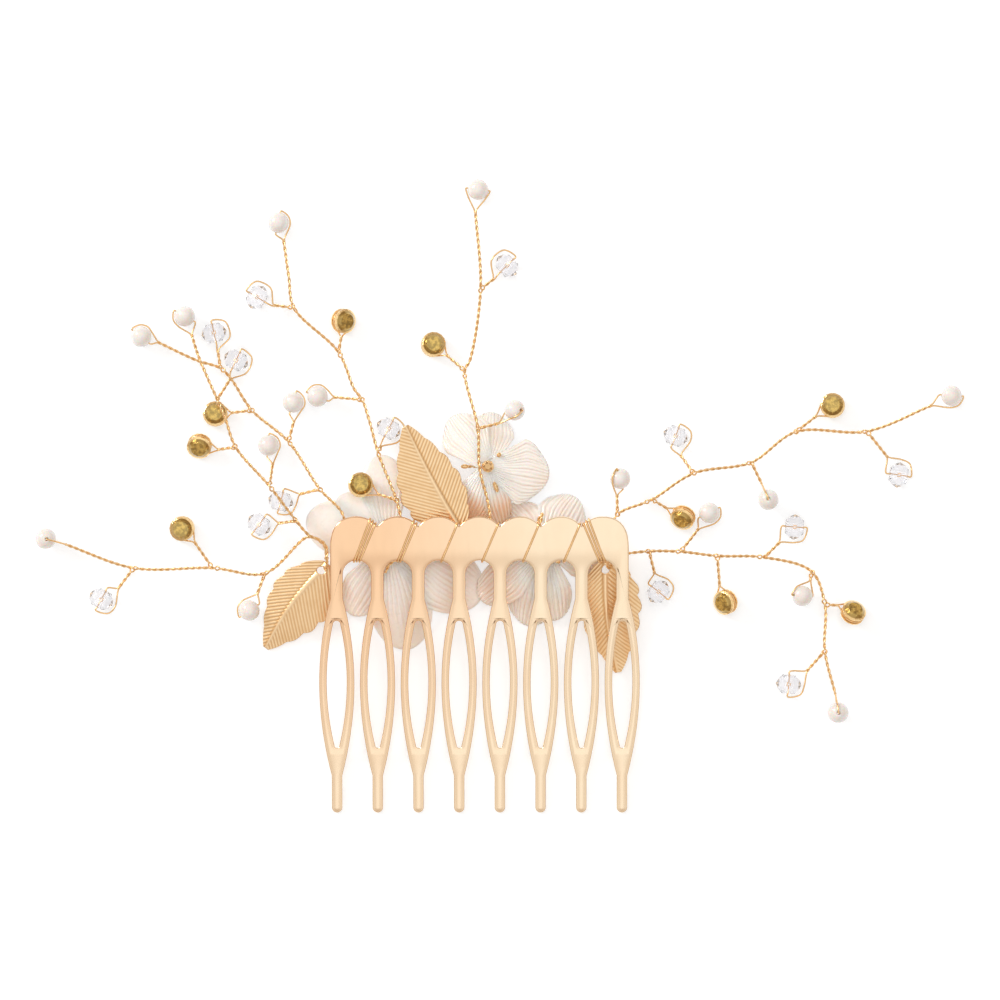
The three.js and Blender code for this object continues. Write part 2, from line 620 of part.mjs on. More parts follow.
// A stem's points are [x, y, height], with height from 0 on the table to 1 under the band.
// Each bead: the stem point its twig leaves, the twig's end, its own place with a height where
// it hangs clear of the table, and how its bore or stone is turned. The last bead of a spray
// has no twig: the stem ends at it.
const sprays = [
  {
    name: "spray_wire_top",
    stem: [[-1.5, -6.5, 1], [-2, -1.5, 1], [-3.7, 5.5, 1], [-4, 13, 0.85], [-6.5, 24, 0.5],
      [-5.5, 26, 0.45], [-3.5, 39.5, 0.1], [-4.5, 54.5, 0]],
    beads: [
      { kind: "pearl", on: 3, end: [0, 14, 0.7], at: [3, 16.5, 0.6], bore: 120, roll: 60 },
      { kind: "stone", on: 4, end: [-10, 27, 0.2], at: [-12.5, 29], lean: 10 },
      { kind: "crystal", on: 6, end: [-1, 41.5, 0], at: [1.5, 44], roll: 180 },
      { kind: "pearl", at: [-4, 58.5], bore: 90 },
    ],
  },
  {
    name: "spray_wire_upper_left",
    stem: [[-18, -6.5, 1], [-19.5, -0.5, 0.95], [-23, 8.5, 0.6], [-24.5, 14, 0.5],
      [-26, 18.5, 0.4], [-27.5, 20.5, 0.35], [-30.5, 27.5, 0.2], [-39, 36, 0.05],
      [-40, 42, 0], [-41, 49, 0]],
    beads: [
      { kind: "stone", on: 1, end: [-23, 0.5, 0.8], at: [-26.3, 2.3, 0.7], lean: 8 },
      { kind: "crystal", on: 2, end: [-22.4, 9.7, 0.4], at: [-21, 13], bore: 175 },
      { kind: "pearl", on: 4, end: [-31.5, 19, 0.1], at: [-34.5, 19.1, 0.15], bore: 160 },
      { kind: "stone", on: 6, end: [-30, 30.5, 0.1], at: [-29.6, 33.5], lean: 35 },
      { kind: "crystal", on: 7, end: [-43, 36.5, 0], at: [-46, 38], bore: 175 },
      { kind: "pearl", at: [-42, 52.2], bore: 150 },
    ],
  },
  {
    name: "spray_wire_left_high",
    stem: [[-29, -6.5, 1], [-29.8, -3, 0.95], [-34, 1.5, 0.75], [-40, 10.5, 0.3],
      [-47, 16.5, 0.05], [-51, 22.5, 0], [-53, 24.5, 0], [-57.5, 26, 0], [-65, 29.5, 0]],
    beads: [
      { kind: "crystal", on: 2, end: [-38, 0.5, 0.3], at: [-41.5, -0.8], bore: 125, roll: 180 },
      { kind: "pearl", on: 3, end: [-39, 14.5, 0.1], at: [-39.2, 18], bore: 160 },
      { kind: "stone", on: 4, end: [-51, 16, 0], at: [-54, 15.8], lean: 8 },
      { kind: "crystal", on: 6, end: [-53.5, 28, 0], at: [-54.2, 31.2] },
      { kind: "pearl", at: [-68.1, 30.5], bore: 160 },
    ],
  },
  {
    name: "spray_wire_left_middle",
    stem: [[-32.7, -12, 0.75], [-32.8, -9.5, 0.8], [-33.8, -8.3, 0.9], [-36, -7.3, 0.95],
      [-38.5, -4.5, 1], [-43.5, 2, 1], [-50, 9.5, 0.75], [-52, 15, 0.75],
      [-53.5, 18.5, 0.7], [-57, 26.5, 0.5], [-58.5, 31, 0.1]],
    beads: [
      { kind: "crystal", on: 4, end: [-42, -5, 0.2], at: [-45.6, -5.2], bore: 130, roll: 180 },
      { kind: "pearl", on: 5, end: [-43, 6.5, 0.2], at: [-43.9, 9.8], bore: 160 },
      { kind: "stone", on: 6, end: [-53.5, 9, 0.2], at: [-57, 9.7], lean: -30 },
      { kind: "crystal", on: 8, end: [-51, 22.5, 0.45], at: [-50, 26], bore: 170 },
      { kind: "pearl", at: [-59.8, 34.4], bore: 140, roll: 180 },
    ],
  },
  {
    name: "spray_wire_left_low",
    stem: [[-32.9, -11.8, 0.42], [-33, -9.6, 0.46], [-34, -8.4, 0.5], [-36.3, -7.6, 0.52],
      [-44.5, -14.5, 0.1], [-54.5, -13.5, 0], [-69.5, -13.5, 0], [-82.5, -9, 0]],
    beads: [
      { kind: "pearl", on: 4, end: [-46, -18.5, 0], at: [-47.5, -21.6], bore: 150 },
      { kind: "stone", on: 5, end: [-58, -8.5, 0], at: [-60.3, -6], lean: -8 },
      { kind: "crystal", on: 6, end: [-72.5, -17.5, 0], at: [-75.6, -19.4], bore: 150, roll: 180 },
      { kind: "pearl", at: [-86.2, -7.9, 0.2], bore: 80, roll: 90 },
    ],
  },
  {
    name: "spray_wire_right",
    stem: [[21, -6.5, 1], [22.5, -3.3, 1], [29, -0.5, 0.8], [37, 4.5, 0.45], [48, 6.6, 0.15],
      [56.5, 12.4, 0], [70, 12.5, 0], [82.5, 17.5, 0]],
    beads: [
      { kind: "pearl", on: 1, end: [22.4, 0.3, 0.8], at: [23, 3.5, 0.6], bore: 140, roll: 130 },
      { kind: "stone", on: 2, end: [32, -2.2, 0.3], at: [35, -3.9], lean: 40 },
      { kind: "crystal", on: 3, end: [34.5, 8, 0.2], at: [33.6, 11.6], bore: 145 },
      { kind: "pearl", on: 4, end: [50, 2.5, 0], at: [51.2, -0.5, 0.2], bore: 85, roll: 90 },
      { kind: "stone", on: 5, end: [60.5, 15.5, 0], at: [63.5, 17.4], lean: -8 },
      { kind: "crystal", on: 6, end: [74, 7.5, 0], at: [76, 4.2], bore: 130, roll: 180 },
      { kind: "pearl", at: [86.1, 19.3], bore: 150 },
    ],
  },
  {
    name: "spray_wire_right_low",
    stem: [[22.2, -11, 0.85], [28.5, -10.3, 0.8], [34.5, -10.4, 0.55], [41.5, -11.2, 0.25],
      [50.5, -11.5, 0.05], [59.5, -14.2, 0], [62, -20.5, 0], [62, -29.3, 0], [64, -37.5, 0]],
    beads: [
      { kind: "crystal", on: 1, end: [29.6, -14.6, 0.4], at: [30.3, -18], bore: 140, roll: 180 },
      { kind: "pearl", on: 2, end: [38, -6, 0.2], at: [40, -3], bore: 150 },
      { kind: "stone", on: 3, end: [42, -17, 0], at: [43.1, -20], lean: 40 },
      { kind: "crystal", on: 4, end: [53.5, -8.5, 0], at: [56.2, -5.7], bore: 130 },
      { kind: "pearl", on: 5, end: [59.2, -16, 0], at: [57.7, -18.8], bore: 110, roll: 30 },
      { kind: "stone", on: 6, end: [64.6, -20.6, 0], at: [67.4, -22], lean: -40 },
      { kind: "crystal", on: 7, end: [58.5, -33.2, 0], at: [55.1, -35.6], bore: 130, roll: 180 },
      { kind: "pearl", at: [64.5, -41, 0.2], bore: 90, roll: 90 },
    ],
  },
];

const beadCounts = { pearl: 0, crystal: 0, stone: 0 };
const stemPoint = ([x, y, share]) => vec(x, y, wireHeight(share));

function beadCentre(bead) {
  const [x, y, share] = bead.at;
  if (share !== undefined) return vec(x, y, wireHeight(share));
  const lean = bead.kind === "stone" ? rad(bead.lean) : Math.PI / 2;
  return vec(x, y, halfHeight(bead.kind, lean));
}

// A bead that stands on the table stays level, so its twig's end is taken at its own height.
function addBead(bead, root, end) {
  const { kind } = bead;
  const centre = beadCentre(bead);
  const facing = vec(end.x, end.y, centre.z);
  const frame = beadFrame(bead, centre, facing);
  beadCounts[kind] += 1;
  const number = String(beadCounts[kind]).padStart(2, "0");
  const { profile, segments, material } = beadKinds[kind];
  addNode(kind + "_" + number, placed(turned(profile(), segments), frame.axis, centre), material);
  return kind === "stone"
    ? grooveLoop(frame, centre, root, end)
    : boreLoop(bead, frame, centre, root, end);
}

function addSpray({ name, stem, beads }) {
  const points = stem.map(stemPoint);
  const parts = [wire(points, stemRadius, stemSides, stemStep)];
  for (const bead of beads) {
    const root = bead.end ? points[bead.on] : points.at(-2);
    const tip = bead.end ? stemPoint(bead.end) : points.at(-1);
    if (bead.end) parts.push(wire([root, tip], stemRadius, stemSides, 2 * stemStep));
    parts.push(wire(addBead(bead, root, tip), strandRadius, strandSides, strandStep));
  }
  addNode(name, geometryOf(join(parts.map(solid))), wireGold);
}

// ---- Assembly ----

addComb();
addLashing();
flowers.forEach((flower, i) => addFlower(flower, i + 1));
flowers.forEach((flower, i) => addFlowerCentre(flower, i + 1));
leaves.forEach((leaf, i) => addLeaf(leaf, i + 1));
sprays.forEach(addSpray);

// The origin is the middle of the object's base, on the table.
const extent = new THREE.Box3().setFromObject(object, true);
const middle = extent.getCenter(vec(0, 0, 0));
object.position.set(-middle.x, -middle.y, -extent.min.z);

export default object;
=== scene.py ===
"""A gold hair comb with wired shell flowers, stamped leaves and sprays of beads, lying face down.

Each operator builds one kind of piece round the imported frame. Tables and formulas are in
millimetres in the layout's own frame, and every mesh is scaled to metres and moved into the
frame's place when it is finished.
"""

import math

import bmesh
import bpy
from bpy.props import FloatProperty, FloatVectorProperty, IntProperty, PointerProperty
from bpy.types import Operator, Panel, PropertyGroup
from mathutils import Matrix, Vector


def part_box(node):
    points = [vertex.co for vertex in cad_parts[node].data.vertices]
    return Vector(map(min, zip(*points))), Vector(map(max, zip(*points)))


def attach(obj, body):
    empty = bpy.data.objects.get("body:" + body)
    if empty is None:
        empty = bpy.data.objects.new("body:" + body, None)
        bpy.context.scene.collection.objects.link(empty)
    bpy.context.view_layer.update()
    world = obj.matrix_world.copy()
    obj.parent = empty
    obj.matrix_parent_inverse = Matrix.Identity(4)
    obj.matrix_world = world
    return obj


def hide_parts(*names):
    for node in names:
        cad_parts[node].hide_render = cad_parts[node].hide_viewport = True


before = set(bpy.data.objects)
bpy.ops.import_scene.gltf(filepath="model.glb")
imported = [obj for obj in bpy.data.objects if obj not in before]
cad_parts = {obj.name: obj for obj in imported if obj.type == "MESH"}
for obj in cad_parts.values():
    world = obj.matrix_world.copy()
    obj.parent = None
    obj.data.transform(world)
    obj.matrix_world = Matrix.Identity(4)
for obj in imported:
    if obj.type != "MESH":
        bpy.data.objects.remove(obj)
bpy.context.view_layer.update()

bl_info = {
    "name": "Floral Hair Comb",
    "version": (1, 0, 0),
    "blender": (4, 5, 0),
    "location": "View3D > Sidebar > Hair Comb",
    "description": "Builds a wired floral hair comb round its packed frame",
    "category": "Object",
}

MM = 0.001
BODY = "root"
UP = Vector((0, 0, 1))

# ---- The comb's own plan ----

TOOTH_COUNT = 8
TOOTH_LENGTH = 48.5
TIP_HALF = 1.0
TIP_LENGTH = 7.1
BULGE_AT = 24.5
BULGE_SPACING = 1.05
NECK_HALF = 1.2
NECK_LENGTH = 7.3
BAND_DEPTH = 8.4
NOTCH_DEPTH = 1.9
END_CORNER_DROP = 5.9
SLOT_WALL = 1.45
SLOT_TOP_HALF = 0.7
SLOT_FOOT_HALF = 0.45
SLOT_TOP_DROP = 5.0
SLOT_FOOT_RISE = 5.8
COMB_MIDDLE_X = -3.7
BAND_EDGE_Y = -3.6
LIE_TILT = math.radians(7.5)
RUN_HEIGHT = 2.2
ROOT_DROP = 1.35
ROOT_Y = -6.0

# How finely round outlines and wires are stepped.
CURVE_STEPS = 18
ARC_STEPS = 14
ROUTE_SPACING = 0.2
WIRE_ROUNDING = 2


# ---- Sizes and colours ----


def length(label, text, default):
    """A length a user may change, in millimetres."""
    return FloatProperty(name=label, description=text, default=default, min=0.01, precision=3)


def colour(label, text, default):
    """A colour a user may change."""
    return FloatVectorProperty(
        name=label, description=text, default=default, size=3, min=0, max=1, subtype="COLOR"
    )


class CombSizes(PropertyGroup):
    """The stamped plate."""

    tooth_pitch: length("Tooth pitch", "From one tooth's middle to the next, in mm", 7.75)
    tooth_length: length(
        "Tooth length", "From the tips to the top of the gaps, in mm", TOOTH_LENGTH
    )
    plate_thick: length("Plate thickness", "Thickness of the stamped plate, in mm", 1.0)
    edge_round: length("Edge round", "Radius of the plate's tumbled edges, in mm", 0.3)


class WireSizes(PropertyGroup):
    """The wire that twists, binds and holds."""

    strand_radius: length("Strand radius", "Radius of one strand of wire, in mm", 0.16)
    twist_pitch: length("Twist pitch", "Length of one full twist of a stem, in mm", 2.4)
    eyelet: length("Eyelet", "How far two strands spread where a twig leaves, in mm", 0.26)


class BeadSizes(PropertyGroup):
    """Pearls, crystals and foiled stones."""

    pearl_radius: length("Pearl radius", "Radius of a pearl, in mm", 1.98)
    crystal_radius: length("Crystal radius", "Radius of a crystal at its girdle, in mm", 2.46)
    crystal_half: length("Crystal half length", "Half a crystal's length on its bore, in mm", 1.75)
    stone_radius: length("Stone radius", "Radius of a foiled stone at its girdle, in mm", 2.35)
    stone_half: length("Stone half height", "Half the height of a foiled stone, in mm", 1.45)
    facets: IntProperty(name="Facets", description="Facets round a bead", default=8, min=5)


class FoliageSizes(PropertyGroup):
    """Petals and leaves."""

    petal_thick: length("Petal thickness", "Thickness of a shell petal, in mm", 0.42)
    flute_depth: length("Flute depth", "Depth of a petal's finest flutes, in mm", 0.1)
    leaf_thick: length("Leaf thickness", "Thickness of a stamped leaf, in mm", 0.22)
    vein_pitch: length("Vein pitch", "Spacing of a leaf's veins along its midrib, in mm", 0.84)
    vein_depth: length("Vein depth", "Height of a leaf's veins, in mm", 0.045)


class Finishes(PropertyGroup):
    """The colours of the metals, shell, glass and stones."""

    # The plate's two golds are painted reflection: peach on the left, cream on the right and
    # towards the tips.
    comb_cream_reflection: colour("Comb cream", "The plate's paler gold, at its right", (1.0, 0.82, 0.60))
    comb_peach_reflection_and_cloud: colour("Comb peach", "The plate's rosier gold, at its left", (0.96, 0.64, 0.40))
    wire_gold: colour("Wire gold", "The wire's gold", (1.0, 0.69, 0.36))
    leaf_gold: colour("Leaf gold", "The leaves' gold", (1.0, 0.76, 0.48))
    # The leaves' groove gold is painted shade between the veins and along the midrib's crease, and
    # also the colour of the random patina patches.
    leaf_groove_shade_and_patina: colour("Leaf groove", "The gold between a leaf's veins", (0.74, 0.44, 0.19))
    nacre: colour("Nacre", "The petals' shell white", (0.97, 0.945, 0.92))
    # The shell's darker colour between its flutes is painted shade.
    nacre_painted_shade: colour("Nacre shade", "The shell between flutes", (0.78, 0.69, 0.62))
    # The gold-brown on the petal ends is partly the shell's own streaks and partly painted
    # orange-brown reflection.
    nacre_brown_and_reflection: colour("Nacre brown", "The shell's gold-brown tint", (0.80, 0.48, 0.28))
    pearl: colour("Pearl", "The pearls' coat", (0.85, 0.845, 0.845))
    crystal: colour("Crystal", "The clear crystals", (0.99, 0.98, 0.995))
    # Lit and shaded copies of one foil: the lighter is painted light on a stone's table, the
    # darker painted shade in its facets.
    stone_lit_foil: colour("Stone light", "The foil seen through a stone's table", (0.55, 0.38, 0.10))
    stone_shaded_foil: colour("Stone dark", "The foil seen through a stone's facets", (0.42, 0.26, 0.06))
    stone_rim: colour("Stone rim", "The gold cup round a stone", (1.0, 0.72, 0.34))
    floor: colour("Floor", "The table under the comb", (0.69, 0.71, 0.73))


SETTINGS = {
    "comb_sizes": CombSizes,
    "wire_sizes": WireSizes,
    "bead_sizes": BeadSizes,
    "foliage_sizes": FoliageSizes,
    "comb_finishes": Finishes,
}


# ---- Places ----


def tips_at(tooth_length):
    """Where the teeth's tips lie along Y, with the band's edge in its place."""
    return BAND_EDGE_Y - (tooth_length + BAND_DEPTH) * math.cos(LIE_TILT)


def comb_plan(sizes):
    """Heights along the comb and half widths across a tooth, all worked out from its sizes."""
    bulge_half = (sizes.tooth_pitch - BULGE_SPACING) / 2
    shoulder = sizes.tooth_length - NECK_LENGTH
    arch_top = sizes.tooth_length + BAND_DEPTH
    gap_half = sizes.tooth_pitch / 2 - NECK_HALF
    half_pitch = sizes.tooth_pitch / 2
    return {
        "bulge_half": bulge_half,
        "slot_half": bulge_half - SLOT_WALL,
        "shoulder": shoulder,
        "slot_top": shoulder - SLOT_TOP_DROP,
        "slot_foot": TIP_LENGTH + SLOT_FOOT_RISE,
        "arch_top": arch_top,
        "end_corner": arch_top - END_CORNER_DROP,
        "arch_radius": (half_pitch**2 + NOTCH_DEPTH**2) / (2 * NOTCH_DEPTH),
        "gap_half": gap_half,
        "gap_spring": sizes.tooth_length - gap_half,
        "tips_y": tips_at(sizes.tooth_length),
    }


TIPS_Y = tips_at(TOOTH_LENGTH)


def plate_underside(y):
    """Height of the plate's lower face above the table at a place along Y."""
    return (y - TIPS_Y) * math.tan(LIE_TILT)


def wire_height(share):
    """A height from 0, lying out on the table, to 1, at the roots under the band."""
    root = plate_underside(ROOT_Y) - ROOT_DROP
    return RUN_HEIGHT + share * (root - RUN_HEIGHT)


def layout_shift():
    """How far the frame's comb stands from where the layout has it."""
    low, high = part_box("comb")
    front_lip = math.sin(LIE_TILT)
    middle = (low.x + high.x) / 2 / MM
    return Vector((middle - COMB_MIDDLE_X, low.y / MM - (TIPS_Y - front_lip), 0))


SHIFT = layout_shift()
TO_FRAME = Matrix.Scale(MM, 4) @ Matrix.Translation(SHIFT)


def bead_centre(node):
    """A bead's centre in the layout, from the middle of its solid."""
    low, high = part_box(node)
    return (low + high) / 2 / MM - SHIFT


# ---- Making pieces ----


def finish_piece(name, mesh, material, nodes, smooth=True):
    """Moves a mesh into the frame and makes it the piece that stands for its CAD nodes."""
    mesh.transform(TO_FRAME)
    mesh.materials.clear()
    mesh.materials.append(material)
    if smooth:
        mesh.shade_smooth()
    else:
        mesh.shade_flat()
    mesh.update()
    piece = bpy.data.objects.new(name, mesh)
    bpy.context.scene.collection.objects.link(piece)
    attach(piece, BODY)
    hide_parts(*nodes)
    return piece


def mesh_of(bm, name):
    """A bmesh as a finished mesh with its faces outwards."""
    bmesh.ops.recalc_face_normals(bm, faces=bm.faces)
    mesh = bpy.data.meshes.new(name)
    bm.to_mesh(mesh)
    bm.free()
    return mesh


def mesh_of_curve(curve):
    """A curve's finished surface as a mesh; the curve itself is removed."""
    holder = bpy.data.objects.new(curve.name + "_line", curve)
    bpy.context.scene.collection.objects.link(holder)
    graph = bpy.context.evaluated_depsgraph_get()
    mesh = bpy.data.meshes.new_from_object(holder.evaluated_get(graph))
    bpy.data.objects.remove(holder)
    bpy.data.curves.remove(curve)
    return mesh


def add_line(curve, places, closed=False):
    """One more line of straight steps in a curve."""
    line = curve.splines.new("POLY")
    line.points.add(len(places) - 1)
    for point, place in zip(line.points, places):
        point.co = (*place.to_3d(), 1)
    line.use_cyclic_u = closed


def tubes(name, routes, radius):
    """Round wires of one radius along several routes, as one mesh."""
    curve = bpy.data.curves.new(name, "CURVE")
    curve.dimensions = "3D"
    curve.bevel_depth = radius
    curve.bevel_resolution = WIRE_ROUNDING
    curve.use_fill_caps = True
    for route in routes:
        add_line(curve, route)
    return mesh_of_curve(curve)


def add_tubes(bm, routes, radius):
    """Round wires of one radius along several routes, added to a bmesh."""
    mesh = tubes("wires", routes, radius)
    bm.from_mesh(mesh)
    bpy.data.meshes.remove(mesh)


def finish_sheet(bm, name, material, nodes, thickness):
    """A thin sheet as a finished piece, thickened evenly to both sides."""
    mesh = bpy.data.meshes.new(name)
    bm.to_mesh(mesh)
    bm.free()
    wall = finish_piece(name, mesh, material, nodes).modifiers.new("thickness", "SOLIDIFY")
    wall.thickness = thickness * MM
    wall.offset = 0


def mixed(a, b, share):
    """A point or number part of the way from one to another."""
    return a + (b - a) * share


def smooth_route(points):
    """Close points along a smooth centripetal curve through a few chosen ones."""
    lead = 2 * points[0] - points[1]
    trail = 2 * points[-1] - points[-2]
    ends = [lead, *points, trail]
    route = []
    for a, b, c, d in zip(ends, ends[1:], ends[2:], ends[3:]):
        knots = [0.0]
        for p, q in ((a, b), (b, c), (c, d)):
            knots.append(knots[-1] + max(math.sqrt((q - p).length), 1e-6))
        k0, k1, k2, k3 = knots
        steps = max(2, math.ceil((c - b).length / ROUTE_SPACING))
        for i in range(steps):
            t = mixed(k1, k2, i / steps)
            first = mixed(a, b, (t - k0) / (k1 - k0))
            second = mixed(b, c, (t - k1) / (k2 - k1))
            third = mixed(c, d, (t - k2) / (k3 - k2))
            early = mixed(first, second, (t - k0) / (k2 - k0))
            late = mixed(second, third, (t - k1) / (k3 - k1))
            route.append(mixed(early, late, (t - k1) / (k2 - k1)))
    route.append(points[-1].copy())
    return route


def run_lengths(route):
    """How far along its route each point lies."""
    along = [0.0]
    for a, b in zip(route, route[1:]):
        along.append(along[-1] + (b - a).length)
    return along


def across_frame(tangent):
    """Two directions square to a tangent: level, and as near upright as can be."""
    level = UP.cross(tangent)
    if level.length < 0.05:
        level = Vector((1, 0, 0)).cross(tangent)
    level.normalize()
    return level, tangent.cross(level).normalized()


EYELET_REACH = 0.75


def twisted_pair(points, wire, eyelets=(), start_turn=0.0):
    """Two strands twisted round each other along a route, spread open at each eyelet."""
    route = smooth_route(points)
    along = run_lengths(route)
    strands = ([], [])
    for i, place in enumerate(route):
        before = route[max(0, i - 1)]
        after = route[min(len(route) - 1, i + 1)]
        level, above = across_frame((after - before).normalized())
        nearest = min((abs(along[i] - at) for at in eyelets), default=99)
        spread = wire.strand_radius
        if nearest < EYELET_REACH:
            spread += wire.eyelet * math.cos(nearest / EYELET_REACH * math.pi / 2) ** 2
        turn = start_turn + 2 * math.pi * along[i] / wire.twist_pitch
        for strand, phase in zip(strands, (0, math.pi)):
            offset = level * math.cos(turn + phase) + above * math.sin(turn + phase)
            strand.append(place + offset * spread)
    return list(strands)


# ---- Materials ----


class Shader:
    """A material's node tree, built up a few nodes at a time."""

    def __init__(self, name):
        self.material = bpy.data.materials.new(name)
        self.material.use_nodes = True
        self.nodes = self.material.node_tree.nodes
        self.links = self.material.node_tree.links
        self.surface = self.nodes["Principled BSDF"]
        self.place = self.nodes.new("ShaderNodeTexCoord").outputs["Object"]

    def constants(self, **values):
        """Sets the shader's own sockets, spelled with underscores for spaces."""
        for label, value in values.items():
            self.surface.inputs[label.replace("_", " ")].default_value = value
        return self

    def noise(self, scale, detail=3.0, stretch=None):
        """Noise on the piece's own place, in features of about 1/scale metres."""
        place = self.place
        if stretch:
            mapping = self.nodes.new("ShaderNodeMapping")
            mapping.inputs["Scale"].default_value = stretch
            self.links.new(place, mapping.inputs["Vector"])
            place = mapping.outputs["Vector"]
        node = self.nodes.new("ShaderNodeTexNoise")
        node.inputs["Scale"].default_value = scale
        node.inputs["Detail"].default_value = detail
        self.links.new(place, node.inputs["Vector"])
        return node.outputs["Fac"]

    def ramp(self, value, low, high, to_low=0.0, to_high=1.0):
        """Stretches a value's range from low..high to to_low..to_high."""
        node = self.nodes.new("ShaderNodeMapRange")
        node.inputs["From Min"].default_value = low
        node.inputs["From Max"].default_value = high
        node.inputs["To Min"].default_value = to_low
        node.inputs["To Max"].default_value = to_high
        self.links.new(value, node.inputs["Value"])
        return node.outputs["Result"]

    def blend(self, value, first, second):
        """Two colours, or sockets, mixed by a value."""
        node = self.nodes.new("ShaderNodeMix")
        node.data_type = "RGBA"
        self.links.new(value, node.inputs["Factor"])
        for socket, given in ((node.inputs["A"], first), (node.inputs["B"], second)):
            if isinstance(given, bpy.types.NodeSocket):
                self.links.new(given, socket)
            else:
                socket.default_value = (*given, 1)
        return node.outputs["Result"]

    def attribute(self, name):
        """A number stored on the piece's vertices."""
        node = self.nodes.new("ShaderNodeAttribute")
        node.attribute_name = name
        return node.outputs["Fac"]

    def along(self, axis):
        """The place along an axis, in metres."""
        node = self.nodes.new("ShaderNodeSeparateXYZ")
        self.links.new(self.place, node.inputs["Vector"])
        return node.outputs[axis]

    def bump(self, height, strength, distance):
        """A bumped normal from a height."""
        node = self.nodes.new("ShaderNodeBump")
        node.inputs["Strength"].default_value = strength
        node.inputs["Distance"].default_value = distance
        self.links.new(height, node.inputs["Height"])
        self.links.new(node.outputs["Normal"], self.surface.inputs["Normal"])
        return self

    def feed(self, label, value):
        """Links a value or colour to one of the shader's sockets."""
        self.links.new(value, self.surface.inputs[label])
        return self


def comb_metal(finish):
    """Polished pale gold in painted reflection: peach to the left, cream to the right and towards
    the tips, with random peach clouds and faint polishing haze.
    """
    shader = Shader("polished_comb_gold").constants(Metallic=1.0)
    # Painted reflection: the plate runs from darker peach on the left to pale cream on the right.
    band = shader.ramp(shader.along("X"), -0.022, 0.008)
    tone = shader.blend(band, finish.comb_peach_reflection_and_cloud, finish.comb_cream_reflection)
    # Painted reflection: the teeth grow paler cream towards their tips.
    tips = shader.ramp(shader.along("Y"), -0.018, -0.052, 0.0, 0.9)
    tone = shader.blend(tips, tone, finish.comb_cream_reflection)
    cloud = shader.ramp(shader.noise(160, 2), 0.3, 0.7, 0.0, 0.16)
    shader.feed("Base Color", shader.blend(cloud, tone, finish.comb_peach_reflection_and_cloud))
    haze = shader.noise(900, 4, stretch=(1, 0.15, 1))
    shader.feed("Roughness", shader.ramp(haze, 0.3, 0.7, 0.13, 0.24))
    return shader.bump(haze, 0.05, 0.0001).material


def wire_metal(finish, name="twisted_wire_gold", wear=0.72):
    """Drawn gold wire, a little darker and worn in patches."""
    shader = Shader(name).constants(Metallic=1.0)
    dark = [channel * wear for channel in finish.wire_gold]
    patches = shader.ramp(shader.noise(700, 3), 0.35, 0.75, 0.0, 0.6)
    shader.feed("Base Color", shader.blend(patches, finish.wire_gold, dark))
    draw = shader.noise(2600, 2)
    shader.feed("Roughness", shader.ramp(draw, 0.3, 0.7, 0.16, 0.3))
    return shader.bump(draw, 0.08, 0.0001).material


def leaf_metal(finish):
    """Stamped gold leaf: bright on its veins, with painted shade between them and along the
    midrib's crease, and random patina patches.
    """
    shader = Shader("stamped_leaf_gold").constants(Metallic=1.0)
    # Painted shade: darker gold between the veins and along the crease by the midrib.
    painted_leaf_groove_shade = shader.ramp(shader.attribute("groove"), 0.1, 0.95, 0.0, 0.85)
    tone = shader.blend(painted_leaf_groove_shade, finish.leaf_gold, finish.leaf_groove_shade_and_patina)
    patina = shader.ramp(shader.noise(420, 4), 0.45, 0.8, 0.0, 0.35)
    shader.feed("Base Color", shader.blend(patina, tone, finish.leaf_groove_shade_and_patina))
    grain = shader.noise(3200, 3)
    shader.feed("Roughness", shader.ramp(grain, 0.3, 0.7, 0.3, 0.44))
    return shader.bump(grain, 0.12, 0.0001).material


def shell_white(finish, name, tint):
    """Mother of pearl: fluted white with painted shade between its flutes, faint growth bands, a
    gold-brown tint on its petal ends that is partly painted orange-brown reflection, and a soft
    glow.
    """
    shader = Shader(name).constants(
        Coat_Weight=0.5, Coat_Roughness=0.12, Subsurface_Weight=0.18, Subsurface_Scale=0.0012
    )
    # Painted shade: the shell darkens between its flutes.
    painted_flute_shade = shader.ramp(shader.attribute("groove"), 0.35, 1.0, 0.0, 0.75)
    tone = shader.blend(painted_flute_shade, finish.nacre, finish.nacre_painted_shade)
    bands = shader.ramp(shader.noise(260, 3, stretch=(1, 0.6, 1)), 0.45, 0.72, 0.0, 0.6)
    tone = shader.blend(bands, tone, tint)
    # Partly the shell's own brown streaks and partly painted orange-brown reflection on the petal
    # ends.
    brown = shader.ramp(shader.attribute("brown"), 0.0, 1.0, 0.0, 0.9)
    shader.feed("Base Color", shader.blend(brown, tone, finish.nacre_brown_and_reflection))
    grain = shader.noise(1500, 3)
    shader.feed("Roughness", shader.ramp(grain, 0.3, 0.7, 0.22, 0.38))
    return shader.bump(grain, 0.06, 0.0001).material


def pearl_lustre(finish):
    """A pearl's coat: clouded white under a clear gloss."""
    shader = Shader("pearl_lustre").constants(
        Coat_Weight=0.7, Coat_Roughness=0.08, Subsurface_Weight=0.25, Subsurface_Scale=0.0009
    )
    warm = (finish.pearl[0], finish.pearl[1] * 0.96, finish.pearl[2] * 0.92)
    cloud = shader.ramp(shader.noise(420, 3), 0.35, 0.7)
    shader.feed("Base Color", shader.blend(cloud, finish.pearl, warm))
    grain = shader.noise(2400, 3)
    shader.feed("Roughness", shader.ramp(grain, 0.3, 0.7, 0.2, 0.34))
    return shader.bump(grain, 0.05, 0.0001).material


def clear_glass(finish):
    """Clear cut crystal with the faintest haze on its facets."""
    shader = Shader("clear_crystal_glass").constants(
        Transmission_Weight=1.0, IOR=1.38, Base_Color=(*finish.crystal, 1)
    )
    haze = shader.noise(1800, 2)
    shader.feed("Roughness", shader.ramp(haze, 0.4, 0.8, 0.05, 0.12))
    return shader.material


